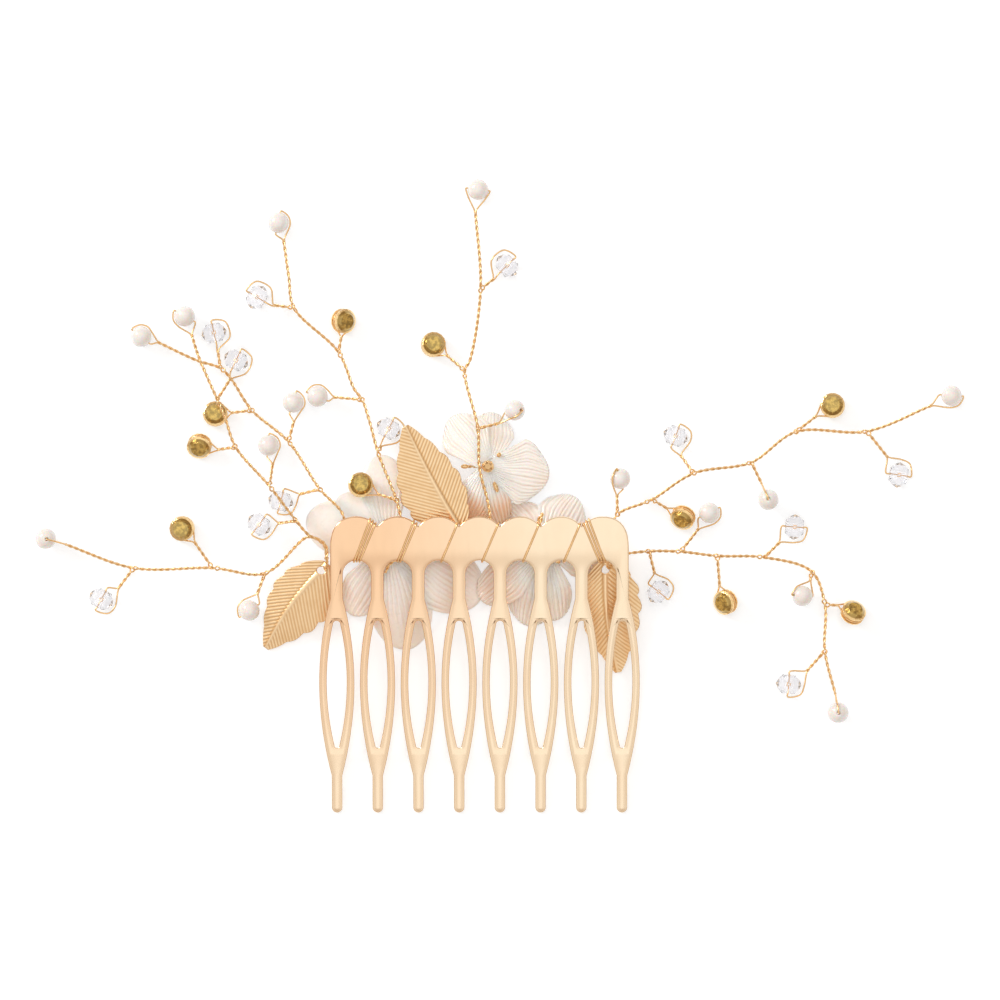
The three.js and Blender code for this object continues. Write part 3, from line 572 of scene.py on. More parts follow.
def foiled_stone(finish):
    """A foiled stone: mottled olive foil in painted light under its table, brightest at its
    middle, and dark gold painted shade in its facets.
    """
    shader = Shader("foiled_gold_stone").constants(
        Metallic=0.85, Coat_Weight=0.8, Coat_Roughness=0.03
    )
    mottle = shader.ramp(shader.noise(1300, 4), 0.4, 0.6)
    pale = [min(1.0, channel * 1.45) for channel in finish.stone_lit_foil]
    shade = [channel * 0.75 for channel in finish.stone_lit_foil]
    face = shader.blend(mottle, shade, pale)
    # Painted light: the table is lit, brightest at its middle, and the facets are in painted
    # shade.
    glow = shader.ramp(shader.attribute("table"), 0.25, 0.75)
    foil = shader.blend(glow, finish.stone_shaded_foil, face)
    cup = shader.ramp(shader.attribute("rim"), 0.4, 0.6)
    shader.feed("Base Color", shader.blend(cup, foil, finish.stone_rim))
    shader.feed("Roughness", shader.ramp(mottle, 0.0, 1.0, 0.14, 0.3))
    return shader.bump(mottle, 0.2, 0.0002).material


# ---- Comb plate ----


def arc(centre, radius, start, end):
    """Points round part of a circle, both ends included."""
    return [
        centre + radius * Vector((math.cos(a), math.sin(a)))
        for a in (mixed(start, end, i / ARC_STEPS) for i in range(ARC_STEPS + 1))
    ]


def bow(start, control, end):
    """Points along a curve pulled towards a control point."""
    return [
        mixed(mixed(start, control, t), mixed(control, end, t), t)
        for t in (i / CURVE_STEPS for i in range(CURVE_STEPS + 1))
    ]


def tooth_x(index, sizes):
    """The middle of a tooth, counted from the left."""
    return (index - (TOOTH_COUNT - 1) / 2) * sizes.tooth_pitch


def comb_outline(sizes, plan):
    """The plate's whole edge: teeth, gaps and the scalloped band."""
    reach = 2 * plan["bulge_half"] - (NECK_HALF + TIP_HALF) / 2
    pull_y = 2 * BULGE_AT - (plan["shoulder"] + TIP_LENGTH) / 2
    pitch = sizes.tooth_pitch
    edge = []
    for i in range(TOOTH_COUNT):
        x = tooth_x(i, sizes)
        left = Vector((x - NECK_HALF, plan["shoulder"]))
        right = Vector((x + NECK_HALF, plan["shoulder"]))
        edge += bow(left, Vector((x - reach, pull_y)), Vector((x - TIP_HALF, TIP_LENGTH)))
        edge += arc(Vector((x, TIP_HALF)), TIP_HALF, math.pi, 2 * math.pi)
        edge += bow(Vector((x + TIP_HALF, TIP_LENGTH)), Vector((x + reach, pull_y)), right)
        if i < TOOTH_COUNT - 1:
            middle = Vector((x + pitch / 2, plan["gap_spring"]))
            edge += arc(middle, plan["gap_half"], math.pi, 0)
    corner = Vector((tooth_x(TOOTH_COUNT - 1, sizes) + NECK_HALF, plan["end_corner"]))
    top = plan["arch_top"]
    edge += bow(corner, Vector((corner.x, top)), Vector((corner.x - NECK_HALF - pitch / 2, top)))
    half_turn = math.asin(pitch / 2 / plan["arch_radius"])
    for i in range(TOOTH_COUNT - 2, -1, -1):
        centre = Vector((tooth_x(i, sizes) + pitch / 2, top - plan["arch_radius"]))
        start = math.pi / 2 - (0 if i == TOOTH_COUNT - 2 else half_turn)
        end = math.pi / 2 + (0 if i == 0 else half_turn)
        edge += arc(centre, plan["arch_radius"], start, end)
    last = Vector((-corner.x, plan["end_corner"]))
    edge += bow(edge[-1], Vector((last.x, top)), last)
    return edge


def slot_outline(x, plan):
    """The long almond slot down the middle of a tooth."""
    middle = (plan["slot_top"] + plan["slot_foot"]) / 2
    reach = 2 * plan["slot_half"] - (SLOT_TOP_HALF + SLOT_FOOT_HALF) / 2
    top = Vector((x, plan["slot_top"]))
    foot = Vector((x, plan["slot_foot"]))
    top_side = Vector((SLOT_TOP_HALF, 0))
    foot_side = Vector((SLOT_FOOT_HALF, 0))
    edge = bow(foot - foot_side, Vector((x - reach, middle)), top - top_side)
    edge += arc(top, SLOT_TOP_HALF, math.pi, 0)
    edge += bow(top + top_side, Vector((x + reach, middle)), foot + foot_side)
    edge += arc(foot, SLOT_FOOT_HALF, 0, -math.pi)
    return edge


def without_repeats(points, nearest=1e-4):
    """The points of a closed outline, each place once."""
    kept = []
    for point in points:
        if not kept or (point - kept[-1]).length > nearest:
            kept.append(point)
    if (kept[0] - kept[-1]).length < nearest:
        kept.pop()
    return kept


def lie_matrix(plan):
    """Moves the plate's own face to where the comb lies, tips down on the table."""
    turn = Matrix.Rotation(LIE_TILT, 4, "X")
    return Matrix.Translation((COMB_MIDDLE_X, plan["tips_y"], 0)) @ turn


ARM_SHOULDER = 0.3
ARM_DROP = 0.16
ARM_STARTS_PAST = 2
ARM_FADES_OVER = 3


def dome_teeth(bm, sizes):
    """Rounds the teeth's arms and necks on both faces, and leaves the band flat."""
    half = sizes.plate_thick / 2
    straight = half - sizes.edge_round
    flat = [f for f in bm.faces if all(abs(abs(v.co.z) - half) < 1e-4 for v in f.verts)]
    bmesh.ops.inset_region(bm, faces=flat, thickness=ARM_SHOULDER, use_even_offset=True)
    kept = {v for f in flat for v in f.verts}
    for vert in bm.verts:
        height = abs(vert.co.z) - straight
        if vert in kept or height < 1e-4:
            continue
        below = sizes.tooth_length + ARM_STARTS_PAST - vert.co.y
        share = max(0, min(1, below / ARM_FADES_OVER))
        lowered = straight + height * (1 - share * ARM_DROP / sizes.edge_round)
        vert.co.z = math.copysign(lowered, vert.co.z)


class BuildComb(Operator):
    """The stamped plate with its eight slotted teeth and rounded edges."""

    bl_idname = "haircomb.build_comb"
    bl_label = "Comb Plate"

    def execute(self, context):
        sizes = context.scene.comb_sizes
        plan = comb_plan(sizes)
        curve = bpy.data.curves.new("comb_plate", "CURVE")
        curve.dimensions = "2D"
        curve.fill_mode = "BOTH"
        curve.bevel_depth = sizes.edge_round
        curve.bevel_resolution = 3
        curve.offset = -sizes.edge_round
        curve.extrude = sizes.plate_thick / 2 - sizes.edge_round
        outlines = [comb_outline(sizes, plan)]
        outlines += [slot_outline(tooth_x(i, sizes), plan) for i in range(TOOTH_COUNT)]
        for outline in outlines:
            add_line(curve, without_repeats(outline), closed=True)
        mesh = mesh_of_curve(curve)
        bm = bmesh.new()
        bm.from_mesh(mesh)
        bmesh.ops.remove_doubles(bm, verts=bm.verts, dist=1e-4)
        bpy.data.meshes.remove(mesh)
        dome_teeth(bm, sizes)
        mesh = mesh_of(bm, "comb_plate")
        mesh.transform(lie_matrix(plan) @ Matrix.Translation((0, 0, sizes.plate_thick / 2)))
        metal = comb_metal(context.scene.comb_finishes)
        finish_piece("comb_plate", mesh, metal, ["comb"])
        return {"FINISHED"}


# ---- Lashing ----

# Each binding: the tooth whose notch it starts over, its turns, and its slant to a gap.
BINDINGS = [(1, 3, -1), (2, 2, -1), (3, 1, -1), (4, 1, -1), (5, 1, -1), (6, 1, -1), (6, 3, 1)]
TURN_SPACING = 0.52
BINDING_RADIUS = 0.2
NOTCH_OFFSET = 0.3
GAP_OFFSET = 0.5
BINDING_CORNER = 0.3
# Short ends of binding wire that show past the band, in the layout, as pairs of strands.
BINDING_TAILS = [
    [(-18.4, -11.4, 6.2), (-19.4, -11.9, 5.9), (-20.6, -12.6, 5.8), (-21.6, -14.4, 5.5)],
    [(7.2, -6.6, 7.0), (7.9, -4.8, 7.2), (8.2, -3.2, 6.6), (7.4, -4.6, 6.4), (7.0, -6.2, 6.6)],
    [(-32.6, -11.4, 5.2), (-32.7, -12.6, 4.6), (-32.9, -13.9, 3.6), (-33.2, -13.2, 3.0)],
    [(21.8, -11.6, 5.2), (21.6, -12.6, 4.4), (20.9, -13.6, 3.2), (20.5, -12.8, 2.9)],
]


def off_middle(x, sizes):
    """How far a place along the band is from the middle of its gap."""
    steps = (x - tooth_x(0, sizes)) / sizes.tooth_pitch
    return (steps - math.floor(steps) - 0.5) * sizes.tooth_pitch


def binding_turn(top_x, foot_x, sizes, plan, clear):
    """One turn of wire over the band's edge, down its back and through the gap."""
    drop_top = off_middle(top_x, sizes) ** 2
    drop_foot = off_middle(foot_x, sizes) ** 2
    radius = plan["arch_radius"]
    over = plan["arch_top"] - radius + math.sqrt(radius**2 - drop_top) + clear
    under = plan["gap_spring"] + math.sqrt(max(0, plan["gap_half"] ** 2 - drop_foot)) - clear
    back = sizes.plate_thick + clear
    front = -clear
    lean = (foot_x - top_x) / (over - under)

    def on_back(height):
        return Vector((top_x + (over - height) * lean, height, back))

    return [
        Vector((top_x, over - BINDING_CORNER, front)),
        Vector((top_x, over, front + BINDING_CORNER)),
        Vector((top_x, over, back - BINDING_CORNER)),
        on_back(over - BINDING_CORNER),
        on_back((over + under) / 2),
        on_back(under + BINDING_CORNER),
        Vector((foot_x, under, back - BINDING_CORNER)),
        Vector((foot_x, under, front + BINDING_CORNER)),
        Vector((foot_x, under + BINDING_CORNER, front)),
    ]


class BuildLashing(Operator):
    """The wire that binds the flowers and sprays to the band, with its twisted ends."""

    bl_idname = "haircomb.build_lashing"
    bl_label = "Lashing Wire"

    def execute(self, context):
        sizes = context.scene.comb_sizes
        wire = context.scene.wire_sizes
        plan = comb_plan(sizes)
        points = []
        for tooth, turns, slant in BINDINGS:
            x = tooth_x(tooth, sizes)
            for turn in range(turns):
                step = turn * TURN_SPACING
                top_x = x + slant * (NOTCH_OFFSET + step)
                foot_x = x + slant * (sizes.tooth_pitch / 2 - GAP_OFFSET + step)
                points += binding_turn(top_x, foot_x, sizes, plan, BINDING_RADIUS)
        place = lie_matrix(plan)
        winding = smooth_route([place @ point for point in points])
        tails = []
        for tail in BINDING_TAILS:
            tails += twisted_pair([Vector(point) for point in tail], wire)
        bm = bmesh.new()
        add_tubes(bm, [winding], BINDING_RADIUS)
        add_tubes(bm, tails, wire.strand_radius)
        mesh = mesh_of(bm, "binding_wire")
        metal = wire_metal(context.scene.comb_finishes, "binding_wire_gold", 0.85)
        finish_piece("binding_wire", mesh, metal, ["lashing_wire"])
        return {"FINISHED"}


# ---- Flowers ----

# Each petal: its tip from the flower's middle, its greatest width, and its tip's height.
# A flower's tint clouds its shell, its flutes are its ridges per mm of petal width, fine is
# how far out they run, and brown is how strongly each petal's end is tinted, partly with the
# shell's own streaks and partly with painted orange-brown reflection. A stamen is
# (x, y, half its length), from the flower's middle.
FLOWERS = [
    {
        "at": (-2.1, 5.8),
        "tint": (0.90, 0.80, 0.70),
        "hub_share": 0.58,
        "flutes": 1.4,
        "fine": [1, 1, 1, 1, 1],
        "brown": [0, 0, 0.1, 2.2, 1.6],
        "petals": [
            {"tip": (-6.9, 9.5), "width": 9.6, "height": 0.8},
            {"tip": (0.6, 10.3), "width": 9.2, "height": 0.6},
            {"tip": (11.6, -1.8), "width": 12.5, "height": 3.1},
            {"tip": (-4.6, -10.9), "width": 8.4, "height": 3.0},
            {"tip": (2.6, -10.8), "width": 5.5, "height": 3.0},
        ],
        "ball": 1.2,
        "stamens": [(2.1, 2.2, 0.5), (1.5, -3.9, 1.1), (-4.4, 0, 0.8)],
    },
    {
        "at": (-21.0, -9.0),
        "tint": (0.93, 0.84, 0.77),
        "hub_share": 0.5,
        "flutes": 1.0,
        "fine": [0.4, 0.5, 0.6, 0.85, 0.72, 0.8],
        "brown": [0, 0, 0, 0.35, 0.2, 0.3],
        "petals": [
            {"tip": (-15.5, 5.2), "width": 10.5, "height": 0.6},
            {"tip": (-9.5, 9.0), "width": 8.5, "height": 1.6},
            {"tip": (-1.5, 17.0), "width": 9.0, "height": 0.6},
            {"tip": (-7.2, -13.4), "width": 8.6, "height": 1.0},
            {"tip": (3.8, -20.0), "width": 12.0, "height": 0.6},
            {"tip": (17.4, -10.7), "width": 12.8, "height": 0.7},
        ],
        "ball": 0,
        "stamens": [],
    },
    {
        "at": (8.5, -9.5),
        "tint": (0.93, 0.78, 0.68),
        "hub_share": 0.42,
        "flutes": 1.25,
        "fine": [1, 1, 1, 1, 1, 1],
        "brown": [0.2, 0, 0.7, 0.35, 0.35, 0.5],
        "petals": [
            {"tip": (-6.5, 8.0), "width": 8.5, "height": 0.6},
            {"tip": (6.0, 9.5), "width": 10.0, "height": 0.6},
            {"tip": (-11.9, -10.2), "width": 8.6, "height": 2.2},
            {"tip": (-3.0, -15.0), "width": 10.5, "height": 0.6},
            {"tip": (2.2, -14.0), "width": 7.8, "height": 1.0},
            {"tip": (11.0, -4.5), "width": 6.0, "height": 1.2},
        ],
        "ball": 0,
        "stamens": [(2.6, -2.6, 0.7)],
    },
]
PETAL_START = 0.06
PETAL_WIDEST_AT = 0.62
PETAL_ROOT_SHARE = 0.25
PETAL_END_SHARE = 0.72
PETAL_END_ROUND = 0.45
PETAL_DROOP = 1.6
PETAL_CUP = 0.05
PETAL_COLUMNS = 130
PETAL_ROWS = 32
PETAL_SWELL = 0.16
FLUTE_WANDER = 0.03
FLUTE_SWAY = 0.02
FLUTE_SHARPNESS = 0.8
FLUTE_EVENNESS = 0.74
FLUTE_FADE = 4
FLUTE_OVERRUN = 1.25
EDGE_SCALLOP = 0.08
BROWN_FROM = 0.45
BROWN_OVER = 0.3
BROWN_ON_RIDGES = 0.4
HUB_RADIUS = 1.0
STAMEN_RISE = 0.5
FRONT_BALL = 1.3
STAMEN_HALF = 0.45
STAMEN_DIP = 1.6
CAD_PETAL_HALF = 0.35
PIN_GAP = 0.3


def petal_half_width(width, share):
    """Half a petal's width at a share of its length."""
    opening = min(1, PETAL_ROOT_SHARE + (1 - PETAL_ROOT_SHARE) * share / PETAL_WIDEST_AT)
    closing = max(0, (share - PETAL_WIDEST_AT) / (1 - PETAL_WIDEST_AT))
    return width / 2 * opening * (1 - (1 - PETAL_END_SHARE) * closing**2)


def add_petal(bm, flower, petal, hub, depth, order):
    """One cupped, fluted petal, as a surface in the flower's bmesh."""
    groove = bm.verts.layers.float["groove"]
    brown = bm.verts.layers.float["brown"]
    flutes = flower["flutes"] * petal["width"]
    tip = Vector(petal["tip"])
    made = bmesh.ops.create_grid(bm, x_segments=PETAL_COLUMNS, y_segments=PETAL_ROWS, size=1)
    turn = Matrix.Rotation(math.atan2(tip.y, tip.x) - math.pi / 2, 4, "Z")
    for vert in made["verts"]:
        side = vert.co.x
        share = PETAL_START + (1 - PETAL_START) * (vert.co.y + 1) / 2
        half = petal_half_width(petal["width"], share)
        out = tip.length * share - PETAL_END_ROUND * petal["width"] / 2 * (side * share) ** 2
        sink = (hub.z - petal["height"]) * share**PETAL_DROOP + PETAL_CUP * half * side * side
        wander = FLUTE_WANDER * math.sin(5 * side + order)
        wander += FLUTE_SWAY * math.sin(9 * share + order)
        ridge = 1 - 2 * abs(math.sin(math.pi * flutes * (side + wander) / 2)) ** FLUTE_SHARPNESS
        waver = math.sin(6.1 * side * (order + 2) + 4 * share + order)
        fade = FLUTE_EVENNESS + (1 - FLUTE_EVENNESS) * waver
        fade *= min(1, FLUTE_FADE * share)
        left_over = flower["fine"][order] * FLUTE_OVERRUN - share
        fade *= max(0, min(1, left_over * FLUTE_FADE))
        swell = PETAL_SWELL * math.sin(2.2 * side + order * 1.7) * share
        lift = depth * ridge * fade + swell
        out += EDGE_SCALLOP * ridge * fade * share**6
        vert.co = Vector((side * half, out, lift - sink))
        # The groove value marks painted shade between the flutes.
        vert[groove] = (0.5 - 0.5 * ridge) * fade
        # The brown value is partly the shell's own streaks and partly painted orange-brown
        # reflection, stronger between the flutes.
        near = min(1, max(0, (share - BROWN_FROM) / BROWN_OVER))
        near *= BROWN_ON_RIDGES + (1 - BROWN_ON_RIDGES) * vert[groove]
        vert[brown] = flower["brown"][order] * near
    bmesh.ops.transform(bm, matrix=Matrix.Translation(hub) @ turn, verts=made["verts"])


class BuildPetals(Operator):
    """The three flowers' fluted shell petals, each flower joined at its middle."""

    bl_idname = "haircomb.build_petals"
    bl_label = "Shell Petals"

    def execute(self, context):
        sizes = context.scene.foliage_sizes
        finish = context.scene.comb_finishes
        for number, flower in enumerate(FLOWERS, 1):
            hub = Vector((*flower["at"], wire_height(flower["hub_share"])))
            bm = bmesh.new()
            bm.verts.layers.float.new("groove")
            bm.verts.layers.float.new("brown")
            for order, petal in enumerate(flower["petals"]):
                add_petal(bm, flower, petal, hub, sizes.flute_depth, order)
            disc = bmesh.ops.create_circle(
                bm, cap_ends=True, segments=32, radius=HUB_RADIUS,
                matrix=Matrix.Translation(hub),
            )
            bmesh.ops.inset_region(bm, faces=disc["verts"][0].link_faces, thickness=0.5)
            shell = shell_white(finish, f"shell_white_{number}", flower["tint"])
            name, node = f"shell_petals_{number}", f"flower_petals_{number}"
            finish_sheet(bm, name, shell, [node], sizes.petal_thick)
        return {"FINISHED"}


def add_ball(bm, place, shape):
    """A small faceted gold ball, stretched to its shape."""
    place = Matrix.Translation(place) @ shape
    bmesh.ops.create_icosphere(bm, subdivisions=2, radius=1, matrix=place)


class BuildFlowerCentres(Operator):
    """The gold balls, pins and stamens at the flowers' middles."""

    bl_idname = "haircomb.build_centres"
    bl_label = "Flower Centres"

    def execute(self, context):
        wire = context.scene.wire_sizes
        metal = wire_metal(context.scene.comb_finishes, "flower_centre_gold")
        for number, flower in enumerate(FLOWERS, 1):
            hub = Vector((*flower["at"], wire_height(flower["hub_share"])))
            ball = flower["ball"]
            low = hub - UP * (CAD_PETAL_HALF + PIN_GAP + FRONT_BALL)
            high = hub + UP * (CAD_PETAL_HALF + PIN_GAP + max(ball, PIN_GAP))
            routes = twisted_pair([low, (low + high) / 2, high], wire)
            ends = []
            for x, y, half in flower["stamens"]:
                end = hub + Vector((x, y, STAMEN_RISE))
                ends.append((end, half, math.atan2(y, x) - math.pi / 2))
                routes += twisted_pair([low, end - UP * STAMEN_DIP, end], wire)
            bm = bmesh.new()
            add_tubes(bm, routes, wire.strand_radius)
            add_ball(bm, low, Matrix.Scale(FRONT_BALL, 4))
            if ball:
                add_ball(bm, high, Matrix.Scale(ball, 4))
            for end, half, angle in ends:
                stretch = Matrix.Diagonal((STAMEN_HALF, half, STAMEN_HALF, 1))
                add_ball(bm, end, Matrix.Rotation(angle, 4, "Z") @ stretch)
            mesh = mesh_of(bm, "centre")
            name, node = f"flower_pin_{number}", f"flower_centre_{number}"
            finish_piece(name, mesh, metal, [node], smooth=False)
        return {"FINISHED"}


# ---- Leaves ----

# Each leaf: base, tip, how far its edges stand off the midrib, the midrib's bow, and the
# height of its base and tip.
LEAVES = [
    {"base": (-7.4, -6.2), "tip": (-17.7, 13.5), "left": 7.2, "right": 5.2, "bow": -0.3,
     "hole": 0.4, "hole_at": 0.9, "high": wire_height(0.93), "low": wire_height(0.885)},
    {"base": (-32.5, -12.7), "tip": (-44.5, -28.7), "left": 7.1, "right": 5.1, "bow": 1.0,
     "hole": 0.8, "hole_at": 1.75, "high": wire_height(0.48), "low": 0.6},
    {"base": (20.3, -12.0), "tip": (22.6, -33.4), "left": 6.8, "right": 5.1, "bow": 0.9,
     "hole": 0.8, "hole_at": 1.75, "high": wire_height(0.42), "low": 1.1},
]
LEAF_LOBES = 6
LOBE_DEPTH = 0.1
LOBE_START = 3
LEAF_BLUNT_BASE = 0.06
LEAF_BLUNT_TIP = 0.03
LEAF_BELLY = 0.8
LEAF_FULLNESS = 0.95
LEAF_FOLD = 0.12
LEAF_DROOP = 1.3
VEIN_SLOPE = 0.93
LEAF_COLUMNS = 84
LEAF_ROWS = 170
MIDRIB_HALF = 0.45
MIDRIB_HEIGHT = 0.14
MIDRIB_TAPER = 0.6
MIDRIB_SINK = 0.5
VEIN_START = 1.4
CREASE_AT = 1.5
CREASE_HALF = 0.22
CREASE_DEPTH = 0.08


def leaf_outline(share):
    """A leaf's half width at a share of its length, before its lobes."""
    turn = LEAF_BLUNT_BASE + (1 - LEAF_BLUNT_BASE - LEAF_BLUNT_TIP) * share**LEAF_BELLY
    return math.sin(math.pi * turn) ** LEAF_FULLNESS


def leaf_lobe(share):
    """The lobes along a leaf's edge: each swells towards the tip and then cuts in."""
    within = (LEAF_LOBES * share) % 1
    return 1 - LOBE_DEPTH + LOBE_DEPTH * math.sin(math.pi * within**1.6) ** 0.7


def punch_hole(bm, middle, radius):
    """Opens a round hole in a flat grid and draws its edge to a true circle."""
    inside = [v for v in bm.verts if (v.co.xy - middle).length < radius]
    bmesh.ops.delete(bm, geom=inside, context="VERTS")
    for vert in bm.verts:
        away = vert.co.xy - middle
        if vert.is_boundary and away.length < radius * 1.6:
            vert.co.xy = middle + away.normalized() * radius


def shape_leaf(bm, leaf, sizes):
    """Raises a flat leaf's midrib and veins, folds it and bends it down to its tip."""
    groove = bm.verts.layers.float["groove"]
    span = (Vector(leaf["tip"]) - Vector(leaf["base"])).length
    for vert in bm.verts:
        x, y = vert.co.xy
        share = max(0, min(1, y / span))
        half = (leaf["left"] if x < 0 else leaf["right"]) * max(leaf_outline(share), 0.05)
        side = min(1, abs(x) / half)
        rib_half = MIDRIB_HALF * (1 - MIDRIB_TAPER * share)
        rib = math.exp(-((x / rib_half) ** 2))
        vein = math.cos(2 * math.pi * (y - VEIN_SLOPE * abs(x)) / sizes.vein_pitch)
        reach = 1 - math.exp(-((x / (VEIN_START * rib_half)) ** 4))
        crease = math.exp(-(((x - CREASE_AT * rib_half) / CREASE_HALF) ** 2))
        z = leaf["high"] + (leaf["low"] - leaf["high"]) * share**LEAF_DROOP
        z -= LEAF_FOLD * half * side
        z += MIDRIB_HEIGHT * (1 - MIDRIB_SINK * share) * rib + sizes.vein_depth * vein * reach
        z -= CREASE_DEPTH * crease * (1 - share)
        bend = leaf["bow"] * math.sin(math.pi * share)
        vert.co = Vector((x + bend, y, z))
        # The groove value marks where painted shade goes: between the veins and along the crease
        # by the midrib.
        vert[groove] = min(1, (0.5 - 0.5 * vein) * reach + 0.9 * crease)


class BuildLeaves(Operator):
    """The three stamped leaves, lobed and veined, each with its wiring hole."""

    bl_idname = "haircomb.build_leaves"
    bl_label = "Leaves"

    def execute(self, context):
        sizes = context.scene.foliage_sizes
        metal = leaf_metal(context.scene.comb_finishes)
        for number, leaf in enumerate(LEAVES, 1):
            base = Vector(leaf["base"])
            reach = Vector(leaf["tip"]) - base
            bm = bmesh.new()
            bm.verts.layers.float.new("groove")
            bmesh.ops.create_grid(bm, x_segments=LEAF_COLUMNS, y_segments=LEAF_ROWS, size=1)
            for vert in bm.verts:
                side = vert.co.x
                share = (vert.co.y + 1) / 2
                half = (leaf["left"] if side < 0 else leaf["right"]) * leaf_outline(share)
                lobed = 1 - (1 - leaf_lobe(share)) * abs(side) ** LOBE_START
                vert.co = Vector((side * half * lobed, reach.length * share, 0))
            punch_hole(bm, Vector((0, leaf["hole_at"])), leaf["hole"])
            shape_leaf(bm, leaf, sizes)
            turn = Matrix.Rotation(math.atan2(reach.y, reach.x) - math.pi / 2, 4, "Z")
            place = Matrix.Translation((*base, 0)) @ turn
            bmesh.ops.transform(bm, matrix=place, verts=bm.verts)
            name, node = f"stamped_leaf_{number}", f"leaf_{number}"
            finish_sheet(bm, name, metal, [node], sizes.leaf_thick)
        return {"FINISHED"}


# ---- Sprays ----

